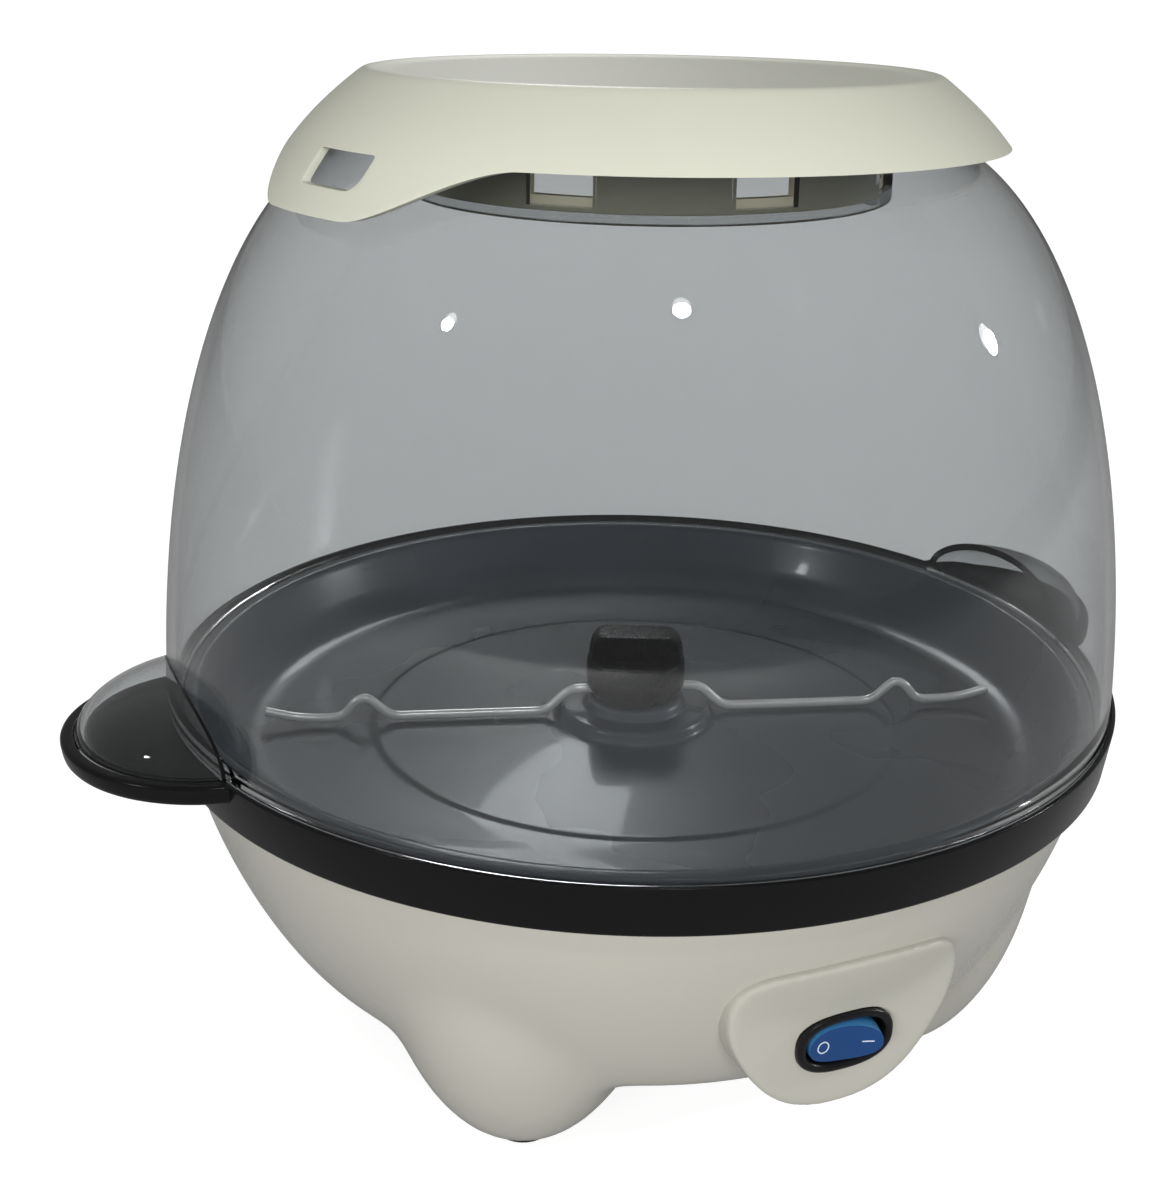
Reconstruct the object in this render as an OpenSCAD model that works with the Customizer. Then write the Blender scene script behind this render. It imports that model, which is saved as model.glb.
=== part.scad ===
// Stirring popcorn maker: a heated pan under a clear dome, with a turning
// stirring wire, on a round four-legged base that holds the motor and switch.
// Frame: origin on the table under the centre, +Z up, switch panel facing -Y.

/* [Ring and pan] */
// Height of the ring's top face above the table
ring_top = 105; // [100:1:112]
// Outer radius of the black ring at its top
ring_r = 130; // [124:1:145]
// Height of the ring's outer band
ring_h = 13; // [10:0.5:18]
// How much smaller the band's radius is at its bottom
ring_draft = 1.7; // [0:0.1:3]
// Width of the lip outside the dome's foot
lip_w = 1.2; // [0.8:0.1:2]
// Depth of the dome's seat below the lip
seat_drop = 1.5; // [1:0.1:2]
// Thickness of the ring's inner shelf
shelf_t = 2.6; // [2:0.1:4]
// Width of the shelf under the pan's flange
pan_seat_w = 3; // [2.5:0.1:4]
// Width of the shelf under the dome's foot
dome_seat_w = 4.1; // [3.8:0.1:5]
// Thickness of the pan's rolled flange
flange_t = 1.2; // [1:0.1:1.4]
// Height of the pan's flange below the top of the lip
flange_drop = 0.7; // [0.4:0.1:0.8]
// Depth of the pan's floor below the lip
pan_depth = 18; // [15:0.5:22]
// Thickness of the pan's floor
pan_floor_t = 2.5; // [2:0.1:4]
// Thickness of the pan's side
pan_wall_t = 1.8; // [1.4:0.1:2.4]
// How far the pan's side leans inward on its way down
pan_lean = 9; // [6:0.5:14]
// Radius of the faint step pressed in the pan's floor
pan_step_r = 73.5; // [60:0.5:85]
// Height of that step
pan_step_h = 0.5; // [0.2:0.1:1]
// Radius of the pan's lower centre boss
boss_r = 21; // [18:0.5:26]
// Height of the lower centre boss
boss_h = 3.5; // [2:0.1:5]
// Radius of the upper centre boss
hub_r = 13.5; // [11:0.5:15]
// Height of the upper boss above the lower one
hub_h = 3; // [2:0.1:4]

/* [Ears] */
// Distance of an ear's arc centre from the axis
ear_x = 118; // [112:1:124]
// Radius of the ring's ear
ear_r = 39; // [34:0.5:42]
// How far the dome's clear ear is inset from the ring's ear
ear_inset = 4.4; // [3:0.1:8]
// Thickness of the ear's plate
ear_t = 4.6; // [4:0.1:7]
// Height of the dome's clear ear
blister_h = 16; // [10:0.5:22]

/* [Dome] */
// Height of the dome above the ring
dome_h = 146; // [130:1:150]
// Wall of the dome
dome_t = 2.2; // [1.8:0.1:3]
// Inner radius of the collar at the top of the dome
collar_r = 59.2; // [52:0.2:62]
// Depth of that collar
collar_h = 14; // [10:0.5:18]
// Number of steam slots in the collar
vents = 8; // [4:1:12]
// Width of one steam slot
vent_w = 16; // [8:1:18]
// Height of one steam slot
vent_h = 3; // [2:0.2:4]

/* [Cap] */
// Gap between the dome's shoulder and the cap
cap_gap = 2; // [1:0.1:3]
// Height of the cap's top above the dome's top
cap_rise = 12; // [10:0.5:16]
// Radius of the cap's flat top
cap_top_r = 71.5; // [64:0.5:74]
// Wall of the cap
cap_t = 2.2; // [1.8:0.1:2.6]
// How far the cap's general edge hangs below the dome's top
cap_hang = 4.4; // [1:0.1:6]
// How far the edge of its handle flap hangs below the general edge
flap_hang = 12.6; // [8:0.1:14]
// Direction of the flap around the axis, from the front towards the right
flap_az = -78; // [-120:1:-45]
// Half width of the flap's straight edge
flap_half = 16; // [12:0.5:20]
// Width of the ramp from the flap up to the general edge
flap_ramp = 35; // [28:0.5:40]
// Width of the finger slot in the flap
slot_w = 23; // [16:0.5:26]
// Height of the finger slot
slot_h = 7.6; // [5:0.1:8]
// Distance of the slot's centre from the flap's middle line
slot_shift = 4; // [-6:0.5:6]
// Depth of the slot's centre below the dome's top
slot_drop = 7.4; // [6:0.1:8]
// Depth of the shallow dish in the cap's top
dish_d = 0.9; // [0.4:0.1:1.4]

/* [Stirrer] */
// Radius of the drive shaft
shaft_r = 3; // [2.5:0.1:4]
// Radial play between the shaft and its bush
shaft_play = 0.05; // [0.02:0.01:0.08]
// Radial play between the shaft and the knob
knob_play = 0.08; // [0.04:0.01:0.1]
// Wall of the brass bush
bush_t = 1.6; // [1.2:0.1:2]
// Diameter of the stirring wire
wire_d = 2.6; // [2:0.1:3]
// Reach of the wire from the axis
wire_reach = 105; // [96:0.5:106]
// Gap between the wire and the pan's floor
wire_clear = 0.5; // [0.4:0.1:1]
// Radius at which the wire rises towards the hub
wire_bend_r = 27; // [25:0.5:32]
// Radius at which each hump stands
hump_r = 77; // [70:0.5:82]
// Height of a hump
hump_h = 6; // [4:0.5:8]
// Direction of the wire at rest, from the front towards the right
wire_az = 72.5; // [0:0.5:180]
// Radius of the knob
knob_r = 14; // [13:0.5:16]
// Height of the knob above its skirt's lower edge
knob_h = 18; // [15:0.5:20]
// Height of the grip bar on the knob
grip_h = 5; // [3:0.5:7]
// Width of the grip bar
grip_w = 9; // [7:0.5:12]

/* [Base] */
// Height of the base's floor above the table
floor_z = 28; // [24:0.5:32]
// Wall of the base
wall_t = 2.5; // [2:0.1:3.5]
// Radius of the flat bottom of the base
bottom_r = 91.8; // [86:0.1:96]
// Distance of a leg's centre from the axis
leg_r = 77; // [72:0.5:82]
// Radius of a leg's bulb
bulb_r = 38.5; // [32:0.5:42]
// Half height of a leg's bulb
bulb_h = 72.5; // [60:0.5:80]
// Angle of each leg from the X axis
leg_az = 44; // [40:1:50]
// Thickness of a rubber foot
foot_t = 1.8; // [1.2:0.1:3]
// Radius of a rubber foot
foot_r = 8; // [6:0.1:8.4]
// Radius of the opening in the base's floor
hatch_r = 36; // [32:0.5:38]
// Overlap of the bottom cover on the base's floor
hatch_lap = 6; // [5:0.5:7]
// Thickness of the bottom cover
cover_t = 2.2; // [1.8:0.1:3]

/* [Switch] */
// Width of the switch panel
panel_w = 61; // [56:0.5:64]
// Height of the switch panel
panel_h = 42; // [36:0.5:44]
// Distance of the panel's face behind the front of the ring
panel_back = 14; // [10:0.5:16]
// Height of the panel's lower edge above the table
panel_z = 34; // [32:0.5:38]
// How far the panel's upper part stands out from the bowl
pad_t = 1.8; // [1:0.1:3]
// Width of the oval bezel
bezel_w = 26; // [24:0.5:30]
// Height of the oval bezel
bezel_h = 15.4; // [15:0.1:18]
// Thickness of the bezel's flange
bezel_t = 2; // [1.4:0.1:2.6]
// Height of the switch's centre above the panel's lower edge
switch_up = 18.2; // [16:0.1:21]
// Width of the rocker
rocker_w = 19; // [17:0.5:20]
// Height of the rocker
rocker_h = 10; // [8.5:0.5:10.5]
// Tilt of the rocker to either side of level
rocker_tilt = 9; // [5:0.5:11]

/* [Motor and heat] */
// Radius of the gear motor's can
motor_r = 24.5; // [24:0.5:28]
// Height of the gear motor's can
motor_h = 20; // [19.5:0.5:22]
// Tooth module of the gears
gear_m = 0.5; // [0.45:0.01:0.52]
// Teeth of a wheel
wheel_teeth = 40; // [40:4:40]
// Teeth of a pinion
pinion_teeth = 10; // [10:1:10]
// Width of a gear
gear_w = 3; // [2.4:0.1:3.2]
// Height of the heat shield above the table
shield_z = 62; // [60:0.5:66]
// Thickness of the heat shield
shield_t = 1.2; // [0.8:0.1:1.6]
// Radius of the heat shield
shield_r = 88; // [84:0.5:92]
// Radius of the heating element's ring
element_r = 75; // [66:0.5:80]
// Diameter of the heating element's tube
element_d = 7; // [5:0.5:8]
// Distance of the clamp screws from the axis
post_r = 60; // [56:0.5:62]
// Radius of a clamp screw's shank
screw_r = 2; // [1.6:0.1:2.5]

/* [Hidden] */
$fn = 128;
smooth = 32;
fit = 0.3;
touch = 0.1;
eps = 0.01;
far = 400;

// Small steps and roundings
edge = 0.8;
// Depth of the pan's seat below the top of the lip
pan_seat_depth = 3;

low_r = ring_r - ring_draft;
lip_in = ring_r - lip_w;
dome_seat_r = lip_in - dome_seat_w;
pan_seat_r = dome_seat_r - pan_seat_w;
dome_seat_z = ring_top - seat_drop;
gasket_t = pan_seat_depth - flange_drop - flange_t;
pan_seat_z = ring_top - pan_seat_depth;
shelf_z = pan_seat_z - shelf_t;
pan_rim_r = dome_seat_r - fit;
pan_mouth_r = pan_seat_r - 1.3;
pan_top = ring_top - flange_drop;
pan_floor = ring_top - pan_depth;
pan_under = pan_floor - pan_step_h - pan_floor_t;
pan_foot_r = pan_mouth_r - pan_lean;
boss_top = pan_floor + boss_h;
hub_top = boss_top + hub_h;

band_t = 3.2;
body_top_r = low_r - band_t - 2 * fit;
body_top = shelf_z;
ring_low = ring_top - ring_h;

dome_foot = dome_seat_z + fit;
dome_foot_r = lip_in - fit;
dome_top = ring_top + dome_h;
collar_low = dome_top - collar_h;
blister_r = ear_r - ear_inset;

cap_top = dome_top + cap_rise;
cap_edge = dome_top - cap_hang;
panel_y = ring_r - panel_back;
inlet_y = ring_r - 24;
plug_r = collar_r - fit;
plug_low = collar_low - touch;
cap_seat_r = collar_r + dome_t + edge;
wire_r = wire_d / 2;
wire_z = pan_floor + wire_clear + wire_r;
knob_low = hub_top + wire_clear;
eye_z = knob_low + wire_r + touch;
sleeve_r = shaft_r + knob_play + 1.9;
eye_r = sleeve_r + touch + wire_r;
shaft_top = knob_low + knob_h - grip_h - 3;
bush_r = shaft_r + shaft_play + bush_t;

motor_top = shield_z;
motor_low = motor_top - motor_h;
cover_z = floor_z - cover_t;
spacer_r = screw_r + 2.5;
head_h = 1.6;
head_sunk = 0.4;
pad_h = 5;
pad_z = pan_under - pad_h;
post_angles = [0, 90, 180, 270];
leg_angles = [leg_az, 180 - leg_az, 180 + leg_az, -leg_az];
inlet_z = 62;
cover_angles = [45, 135, 225, 315];
cover_screw_at = hatch_r + hatch_lap / 2;
cover_screw_r = 1.2;
boss_top_z = floor_z + wall_t + 5;
inlet_r = 6;
gap_half = 14;
element_z = pan_under - element_d / 2 - touch;
lead_pin_r = 1.3;
pin_turn = gap_half - (lead_pin_r + touch) / element_r * 180 / PI;
pin_angles = [90 - pin_turn, 90 + pin_turn];
pin_drop = 9;
switch_z = panel_z + switch_up;
gear_gap = gear_m * (wheel_teeth + pinion_teeth) / 2;
floor_in = floor_z + wall_t;

// A point of a cubic curve through p[0] and p[3], drawn towards p[1] and p[2].
function curve_at(p, t) =
    pow(1 - t, 3) * p[0] + 3 * pow(1 - t, 2) * t * p[1]
    + 3 * (1 - t) * t * t * p[2] + pow(t, 3) * p[3];
function curve(p, steps) = [for (i = [0 : steps]) curve_at(p, i / steps)];
function flip(points) = [for (i = [len(points) - 1 : -1 : 0]) points[i]];
// A profile moved sideways by d, towards the axis when d is negative.
function shifted(points, d, up = 0) = [for (p = points) [p[0] + d, p[1] + up]];
function smoothstep(t) = t * t * (3 - 2 * t);

// Outlines in the [radius, height] plane, from the bottom up.
dome_steps = 20;
dome_curve = curve([
    [ring_r - 1.6, ring_top + 2.4],
    [ring_r - 4.6, ring_top + 0.545 * dome_h],
    [ring_r - 27, ring_top + 0.955 * dome_h],
    [collar_r + dome_t + 3, dome_top]], dome_steps);
body_steps = 14;
body_curve = curve([
    [bottom_r, floor_z],
    [bottom_r + 7.5, floor_z],
    [ring_r - 10.4, ring_top - 44],
    [body_top_r, ring_low]], body_steps);
cap_steps = 10;
cap_curve = curve([
    [ring_r - 27.3 - 0.5 * cap_gap, dome_top - 20.6],
    [ring_r - 40.1, dome_top - 5.2],
    [ring_r - 42.4, dome_top - 0.2],
    [cap_top_r + 1.6, cap_top - 1.2]], cap_steps);

// Repeats its children at each angle in a list, at a distance from the axis.
module around(angles, r) {
    for (a = angles)
        rotate(a)
            translate([r, 0, 0])
                children();
}

// A round bar between two points, with round ends.
module bar(a, b, r) {
    v = b - a;
    run = norm(v);
    tilt = acos(v[2] / run);
    turn = atan2(v[1], v[0]);
    translate(a) {
        rotate([0, tilt, turn])
            cylinder(r = r, h = run, $fn = smooth);
        sphere(r = r, $fn = smooth);
    }
    translate(b)
        sphere(r = r, $fn = smooth);
}

function unit(v) = v / norm(v);
function heading(path, i) =
    unit(path[min(i + 1, len(path) - 1)] - path[max(i - 1, 0)]);

// The path with each corner cut to a curve that starts d before it.
function rounded(path, d, steps = 4) = concat(
    [path[0]],
    [for (i = [1 : len(path) - 2])
        let (a = path[i] + d * unit(path[i - 1] - path[i]),
             b = path[i] + d * unit(path[i + 1] - path[i]))
        for (t = [0 : 1 / steps : 1])
            (1 - t) * (1 - t) * a + 2 * (1 - t) * t * path[i] + t * t * b],
    [path[len(path) - 1]]);

// A round wire swept along a path that never runs straight up.
module wire(path, r, sides = 12) {
    last = len(path) - 1;
    points = [for (i = [0 : last])
        let (d = heading(path, i), across = unit(cross(d, [0, 0, 1])), up = cross(d, across))
        for (k = [0 : sides - 1])
            path[i] + r * (cos(360 * k / sides) * across + sin(360 * k / sides) * up)];
    walls = [for (i = [0 : last - 1]) for (k = [0 : sides - 1])
        let (a = i * sides + k, b = i * sides + (k + 1) % sides)
        each [[a, a + sides, b + sides], [a, b + sides, b]]];
    polyhedron(points, concat(
        [[for (k = [0 : sides - 1]) k]], walls,
        [[for (k = [sides - 1 : -1 : 0]) last * sides + k]]));
}

// A flat oval prism, w wide and h high, standing on its face.
module oval(w, h, t) {
    linear_extrude(t)
        oval_face(w, h);
}

module oval_face(w, h) {
    steps = 48;
    polygon([for (i = [0 : steps - 1])
        let (a = 360 * i / steps)
        [w / 2 * sign(cos(a)) * pow(abs(cos(a)), 0.8), h / 2 * sign(sin(a)) * pow(abs(sin(a)), 0.8)]]);
}

// Cap -------------------------------------------------------------------

// Height of the cap's lower edge, t across the flap from its middle line.
function edge_at(t) =
    let (s = min(1, max(0, (abs(t) - flap_half) / flap_ramp)))
    cap_edge - flap_hang * (1 - smoothstep(s));

module cap_shell() {
    inner = shifted(cap_curve, -cap_t);
    dish = cap_top - dish_d;
    rotate_extrude()
        polygon(concat(
            cap_curve,
            [[cap_top_r + 0.5, cap_top - 0.3], [cap_top_r - 1, cap_top],
             [cap_top_r - 3, cap_top], [cap_top_r - 5, dish], [0, dish],
             [0, dish - cap_t], [cap_top_r - cap_t, dish - cap_t]],
            flip(inner)));
}

// Everything that the cap's skirt keeps, seen along the flap's direction.
module cap_keep() {
    half = flap_half + flap_ramp;
    steps = 12;
    edge = [for (i = [-steps : steps])
        let (t = half * i / steps) [t, edge_at(t)]];
    rotate(flap_az - 90)
        rotate([90, 0, 90])
            linear_extrude(far)
                polygon(concat(edge, [[half, cap_top + 5], [-half, cap_top + 5]]));
    translate([0, 0, cap_edge])
        cylinder(r = ring_r, h = far);
}

module flap_slot() {
    corner = 2;
    rotate(flap_az - 90)
        translate([ear_r, 0, dome_top - slot_drop])
            rotate([90, 0, 90])
                linear_extrude(far)
                    translate([slot_shift, 0]) {
                        square([slot_w - 2 * corner, slot_h], center = true);
                        square([slot_w, slot_h - 2 * corner], center = true);
                        for (x = [-1, 1], y = [-1, 1])
                            translate([x * (slot_w / 2 - corner), y * (slot_h / 2 - corner)])
                                circle(r = corner, $fn = smooth);
                    }
}

// The collar under the cap: its step rests on the dome, its lower part
// hangs inside the dome's collar, and its steam slots meet the dome's.
module cap_plug() {
    top = cap_top - dish_d - eps;
    in_r = plug_r - cap_t;
    seat = dome_top + fit;
    difference() {
        rotate_extrude()
            polygon([[in_r, plug_low], [plug_r, plug_low], [plug_r, seat],
                     [cap_seat_r, seat], [cap_seat_r, top], [in_r, top]]);
        collar_vents();
    }
}

module cap() {
    color("ivory") {
        difference() {
            intersection() {
                cap_shell();
                cap_keep();
            }
            flap_slot();
        }
        cap_plug();
    }
}

// Dome ------------------------------------------------------------------

module dome_wall() {
    inner = shifted(dome_curve, -dome_t);
    rotate_extrude()
        polygon(concat(
            [[dome_foot_r, dome_foot], [dome_foot_r, dome_foot + 1.8]],
            dome_curve,
            [[collar_r, dome_top], [collar_r, collar_low],
             [collar_r + dome_t, collar_low], [collar_r + dome_t, dome_top - dome_t]],
            flip([for (p = inner) if (p[0] > collar_r + dome_t + 1) [p[0], min(p[1], dome_top - dome_t)]]),
            [[dome_foot_r - 3.4, dome_foot]]));
}

// Quarter of an ellipse turned into a low mound, r wide and h high.
module mound(r, h) {
    steps = 14;
    rotate_extrude()
        polygon(concat([[0, 0]], [for (i = [0 : steps])
            [r * cos(90 * i / steps), h * sin(90 * i / steps)]]));
}

module blister(side) {
    difference() {
        translate([side * ear_x, 0, dome_foot])
            difference() {
                mound(blister_r, blister_h);
                translate([0, 0, -eps])
                    mound(blister_r - dome_t, blister_h - dome_t);
            }
        translate([0, 0, dome_foot - 1])
            cylinder(r = dome_foot_r - 1.6, h = blister_h + 4);
    }
}

module collar_vents() {
    around([for (i = [0 : vents - 1]) i * 360 / vents], collar_r)
        translate([0, 0, collar_low + collar_h / 2])
            cube([4 * dome_t, vent_w, vent_h], center = true);
}

module dome() {
    color("whitesmoke", 0.35) {
        difference() {
            union() {
                dome_wall();
                for (side = [-1, 1])
                    blister(side);
            }
            collar_vents();
        }
    }
}

// Ring ------------------------------------------------------------------

module ring_band() {
    rotate_extrude()
        polygon([
            [pan_seat_r, pan_seat_z], [pan_seat_r, shelf_z],
            [low_r - band_t, shelf_z], [low_r - band_t, ring_low],
            [low_r - edge, ring_low], [low_r, ring_low + edge],
            [ring_r, ring_top - edge], [ring_r - edge / 2, ring_top],
            [lip_in + 0.2, ring_top], [lip_in, ring_top - 0.3], [lip_in, dome_seat_z],
            [dome_seat_r, dome_seat_z], [dome_seat_r, pan_seat_z]]);
}

module ring_ear(side) {
    rim = ear_inset - fit;
    difference() {
        translate([side * ear_x, 0, 0])
            rotate_extrude()
                polygon([
                    [0, dome_seat_z], [ear_r - rim, dome_seat_z], [ear_r - rim, ring_top],
                    [ear_r - 1, ring_top], [ear_r, ring_top - 1],
                    [ear_r - 0.6, ring_top - ear_t + 1], [ear_r - 1.8, ring_top - ear_t],
                    [0, ring_top - ear_t]]);
        translate([0, 0, ring_low])
            cylinder(r = low_r - edge, h = far);
        translate([0, 0, dome_seat_z])
            cylinder(r = lip_in, h = far);
    }
}

module rim_ring() {
    color([0.06, 0.06, 0.065])
        difference() {
            union() {
                ring_band();
                for (side = [-1, 1])
                    ring_ear(side);
            }
            for (side = [-1, 1])
                translate([side * ear_x, 0, dome_seat_z])
                    cylinder(r = blister_r + fit, h = 5);
        }
}

// Pan -------------------------------------------------------------------

module pan() {
    slope = pan_lean / (pan_top - pan_floor);
    color([0.22, 0.24, 0.27])
        difference() {
            union() {
                rotate_extrude()
                    polygon([
                        [0, pan_under], [pan_foot_r - 1, pan_under],
                        [pan_foot_r + pan_wall_t, pan_under + 3],
                        [pan_mouth_r + pan_wall_t * 0.6 - slope * flange_t, pan_top - flange_t],
                        [pan_rim_r, pan_top - flange_t], [pan_rim_r, pan_top - 0.3],
                        [pan_rim_r - 0.3, pan_top], [pan_mouth_r + 0.5, pan_top],
                        [pan_mouth_r, pan_top - 0.5],
                        [pan_foot_r + 1.2, pan_floor + 1.2], [pan_foot_r, pan_floor - pan_step_h + 0.4],
                        [pan_foot_r - 2, pan_floor - pan_step_h],
                        [pan_step_r + 1, pan_floor - pan_step_h], [pan_step_r, pan_floor],
                        [boss_r + 0.8, pan_floor], [boss_r, boss_top - 0.8],
                        [boss_r - 1, boss_top], [hub_r + 0.6, boss_top],
                        [hub_r, hub_top - 0.8], [hub_r - 0.8, hub_top], [0, hub_top]]);
                around(post_angles, post_r)
                    translate([0, 0, pad_z])
                        cylinder(r = spacer_r, h = pad_h + eps, $fn = smooth);
            }
            translate([0, 0, pan_under - 1])
                cylinder(r = bush_r, h = pan_depth + 10);
            around(post_angles, post_r)
                translate([0, 0, pad_z - 1])
                    cylinder(r = screw_r, h = pad_h + 0.6, $fn = smooth);
        }
}

module pan_gasket() {
    color("firebrick")
        translate([0, 0, pan_seat_z])
            difference() {
                cylinder(r = pan_rim_r - 0.2, h = gasket_t);
                translate([0, 0, -1])
                    cylinder(r = pan_seat_r + 0.2, h = gasket_t + 2);
            }
}

// Stirrer ---------------------------------------------------------------

// Cross-section shared by the shaft's flat and the knob's socket.
module flatted(r, h) {
    flat = shaft_r * 0.35;
    difference() {
        cylinder(r = r, h = h);
        translate([r - flat, -r, -1])
            cube([2 * r, 2 * r, h + 2]);
    }
}

module drive_shaft() {
    flat_len = shaft_top - hub_top;
    color("silver") {
        translate([0, 0, wheel_z])
            cylinder(r = shaft_r, h = hub_top - wheel_z);
        translate([0, 0, hub_top - eps])
            flatted(shaft_r, flat_len + eps);
    }
}

module shaft_bush() {
    color("goldenrod")
        translate([0, 0, pan_under])
            difference() {
                cylinder(r = bush_r, h = hub_top - pan_under);
                translate([0, 0, -1])
                    cylinder(r = shaft_r + shaft_play, h = hub_top - pan_under + 2);
            }
}

// One arm of the wire, from its upturned tip in to the knob.
function arm_points() =
    let (climb = 5, half = 6.5)
    [[wire_reach - wire_r, 0, wire_z + 2.6], [wire_reach - 14, 0, wire_z],
     [hump_r + half, 0, wire_z], [hump_r + 2, 0, wire_z + hump_h - 1],
     [hump_r - 2, 0, wire_z + hump_h], [hump_r - half, 0, wire_z],
     [wire_bend_r, 0, wire_z], [wire_bend_r - climb - 4, 0, eye_z], [eye_r + 3, 0, eye_z]];

// The wire's half turn round the knob's sleeve.
function eye_points() =
    [for (a = [20 : 20 : 160]) [eye_r * cos(a), eye_r * sin(a), eye_z]];

module stirring_wire() {
    arm = arm_points();
    far_arm = [for (p = flip(arm)) [-p[0], p[1], p[2]]];
    color("silver")
        rotate(wire_az - 90)
            wire(rounded(concat(arm, eye_points(), far_arm), 0.9, 3), wire_r);
}

module stir_knob() {
    skirt_h = eye_z + wire_r + touch - knob_low;
    body_z = knob_low + skirt_h;
    shoulder = knob_low + knob_h - grip_h;
    color([0.07, 0.07, 0.07])
        difference() {
            union() {
                rotate_extrude()
                    polygon([
                        [0, knob_low], [sleeve_r, knob_low], [sleeve_r, body_z],
                        [knob_r - 2.2, body_z], [knob_r - 2.2, knob_low],
                        [knob_r - 0.8, knob_low], [knob_r, knob_low + 1.4],
                        [knob_r - 0.5, shoulder - 2], [knob_r - 2.5, shoulder], [0, shoulder]]);
                rotate(wire_az - 90 - 8)
                    grip_bar(shoulder);
            }
            translate([0, 0, knob_low - 1])
                flatted(shaft_r + knob_play, shaft_top - knob_low + 1 + touch);
            rotate(wire_az - 90)
                translate([-far / 2, -wire_r - touch, knob_low - 1])
                    difference() {
                        cube([far, wire_d + 2 * touch, skirt_h + 1]);
                        translate([far / 2, wire_r + touch, 0])
                            cylinder(r = sleeve_r, h = far);
                    }
        }
}

// The raised bar across the knob, with round ends on the knob's rim.
module grip_bar(z) {
    intersection() {
        translate([-far / 2, -grip_w / 2, z - 3])
            cube([far, grip_w, grip_h + 3]);
        translate([0, 0, z - 3])
            rotate_extrude()
                polygon([[0, 0], [knob_r - 0.8, 0], [knob_r - 1.2, grip_h],
                         [knob_r - 2.8, grip_h + 3], [0, grip_h + 3]]);
    }
}

// Gear motor ------------------------------------------------------------

// A spur gear on the Z axis; turn is a fraction of one tooth. No bore: solid.
module gear(teeth, w, bore, turn = 0) {
    pitch_r = gear_m * teeth / 2;
    tip = gear_m * 0.8;
    root = gear_m * 1.1;
    tooth = 360 / teeth;
    linear_extrude(w)
        difference() {
            polygon([for (i = [0 : teeth - 1])
                for (k = [[-0.3, -root], [-0.11, tip], [0.11, tip], [0.3, -root]])
                    let (a = (i + turn + k[0]) * tooth, r = pitch_r + k[1])
                    [r * cos(a), r * sin(a)]]);
            if (bore > 0)
                circle(r = bore);
        }
}

plate_t = 1;
gear_room = 0.6;
wheel_z = motor_top - plate_t - gear_room + 0.2 - gear_w;
lower_z = wheel_z - gear_w - gear_room;
pin_r = 1;
rotor_r = 9;
rotor_z = motor_low + plate_t + 0.2;

module output_wheel() {
    color("white")
        translate([0, 0, wheel_z])
            gear(wheel_teeth, gear_w, shaft_r, 0);
}

module middle_gear() {
    color("bisque")
        translate([gear_gap, 0, lower_z]) {
            gear(wheel_teeth, gear_w, pin_r + shaft_play, 0);
            translate([0, 0, gear_w])
                gear(pinion_teeth, gear_w + gear_room, pin_r + shaft_play, 0.5);
        }
}

// Steel pin of the middle gear, fixed in the plate above it.
module middle_pin() {
    low = lower_z - 1.4;
    color("silver")
        translate([gear_gap, 0, low])
            cylinder(r = pin_r, h = motor_top - plate_t - low, $fn = smooth);
}

module motor_rotor() {
    neck = 2;
    rotor_h = lower_z - neck - rotor_z;
    color("dimgray")
        translate([0, 0, rotor_z]) {
            cylinder(r = rotor_r, h = rotor_h);
            cylinder(r = pin_r, h = rotor_h + neck + gear_w, $fn = smooth);
            translate([0, 0, rotor_h + neck])
                gear(pinion_teeth, gear_w, 0, 0.5);
        }
}

module motor_coil() {
    color("orangered")
        translate([0, 0, rotor_z])
            difference() {
                cylinder(r = motor_r - plate_t - 0.2, h = lower_z - 2.6 - rotor_z);
                translate([0, 0, -1])
                    cylinder(r = rotor_r + gear_room, h = motor_h);
            }
}

module motor_can() {
    color("lightsteelblue")
        translate([0, 0, motor_low])
            difference() {
                cylinder(r = motor_r, h = motor_h - plate_t);
                translate([0, 0, plate_t])
                    cylinder(r = motor_r - plate_t, h = motor_h);
            }
}

ear_pitch = 29.5;
small_screw_r = 1.4;

module motor_plate() {
    tab_r = 3.6;
    color("lightgray")
        translate([0, 0, motor_top - plate_t])
            difference() {
                union() {
                    cylinder(r = motor_r, h = plate_t);
                    for (side = [-1, 1])
                        translate([0, side * ear_pitch, 0])
                            cylinder(r = tab_r, h = plate_t, $fn = smooth);
                    translate([-tab_r, -ear_pitch, 0])
                        cube([2 * tab_r, 2 * ear_pitch, plate_t]);
                }
                translate([0, 0, -1])
                    cylinder(r = shaft_r + shaft_play, h = plate_t + 2);
                for (side = [-1, 1])
                    translate([0, side * ear_pitch, -1])
                        cylinder(r = small_screw_r + touch, h = plate_t + 2, $fn = smooth);
            }
}

// Two screws that hold the gear motor up under the heat shield.
module motor_screws() {
    head = 2;
    out = 1.4;
    color("silver")
        for (side = [-1, 1])
            translate([0, side * ear_pitch, motor_top - plate_t]) {
                cylinder(r = small_screw_r, h = plate_t + shield_t + out, $fn = smooth);
                translate([0, 0, -head])
                    cylinder(r = 2 * small_screw_r, h = head, $fn = smooth);
            }
}

// Heat ------------------------------------------------------------------

module heating_element() {
    color("dimgray")
        translate([0, 0, element_z])
            rotate(90 + gap_half)
                rotate_extrude(angle = 360 - 2 * gap_half)
                    translate([element_r, 0])
                        circle(d = element_d, $fn = smooth);
}

module element_pins() {
    color("gainsboro")
        around(pin_angles, element_r)
            translate([0, 0, element_z - pin_drop])
                cylinder(r = lead_pin_r, h = pin_drop, $fn = smooth);
}

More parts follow.
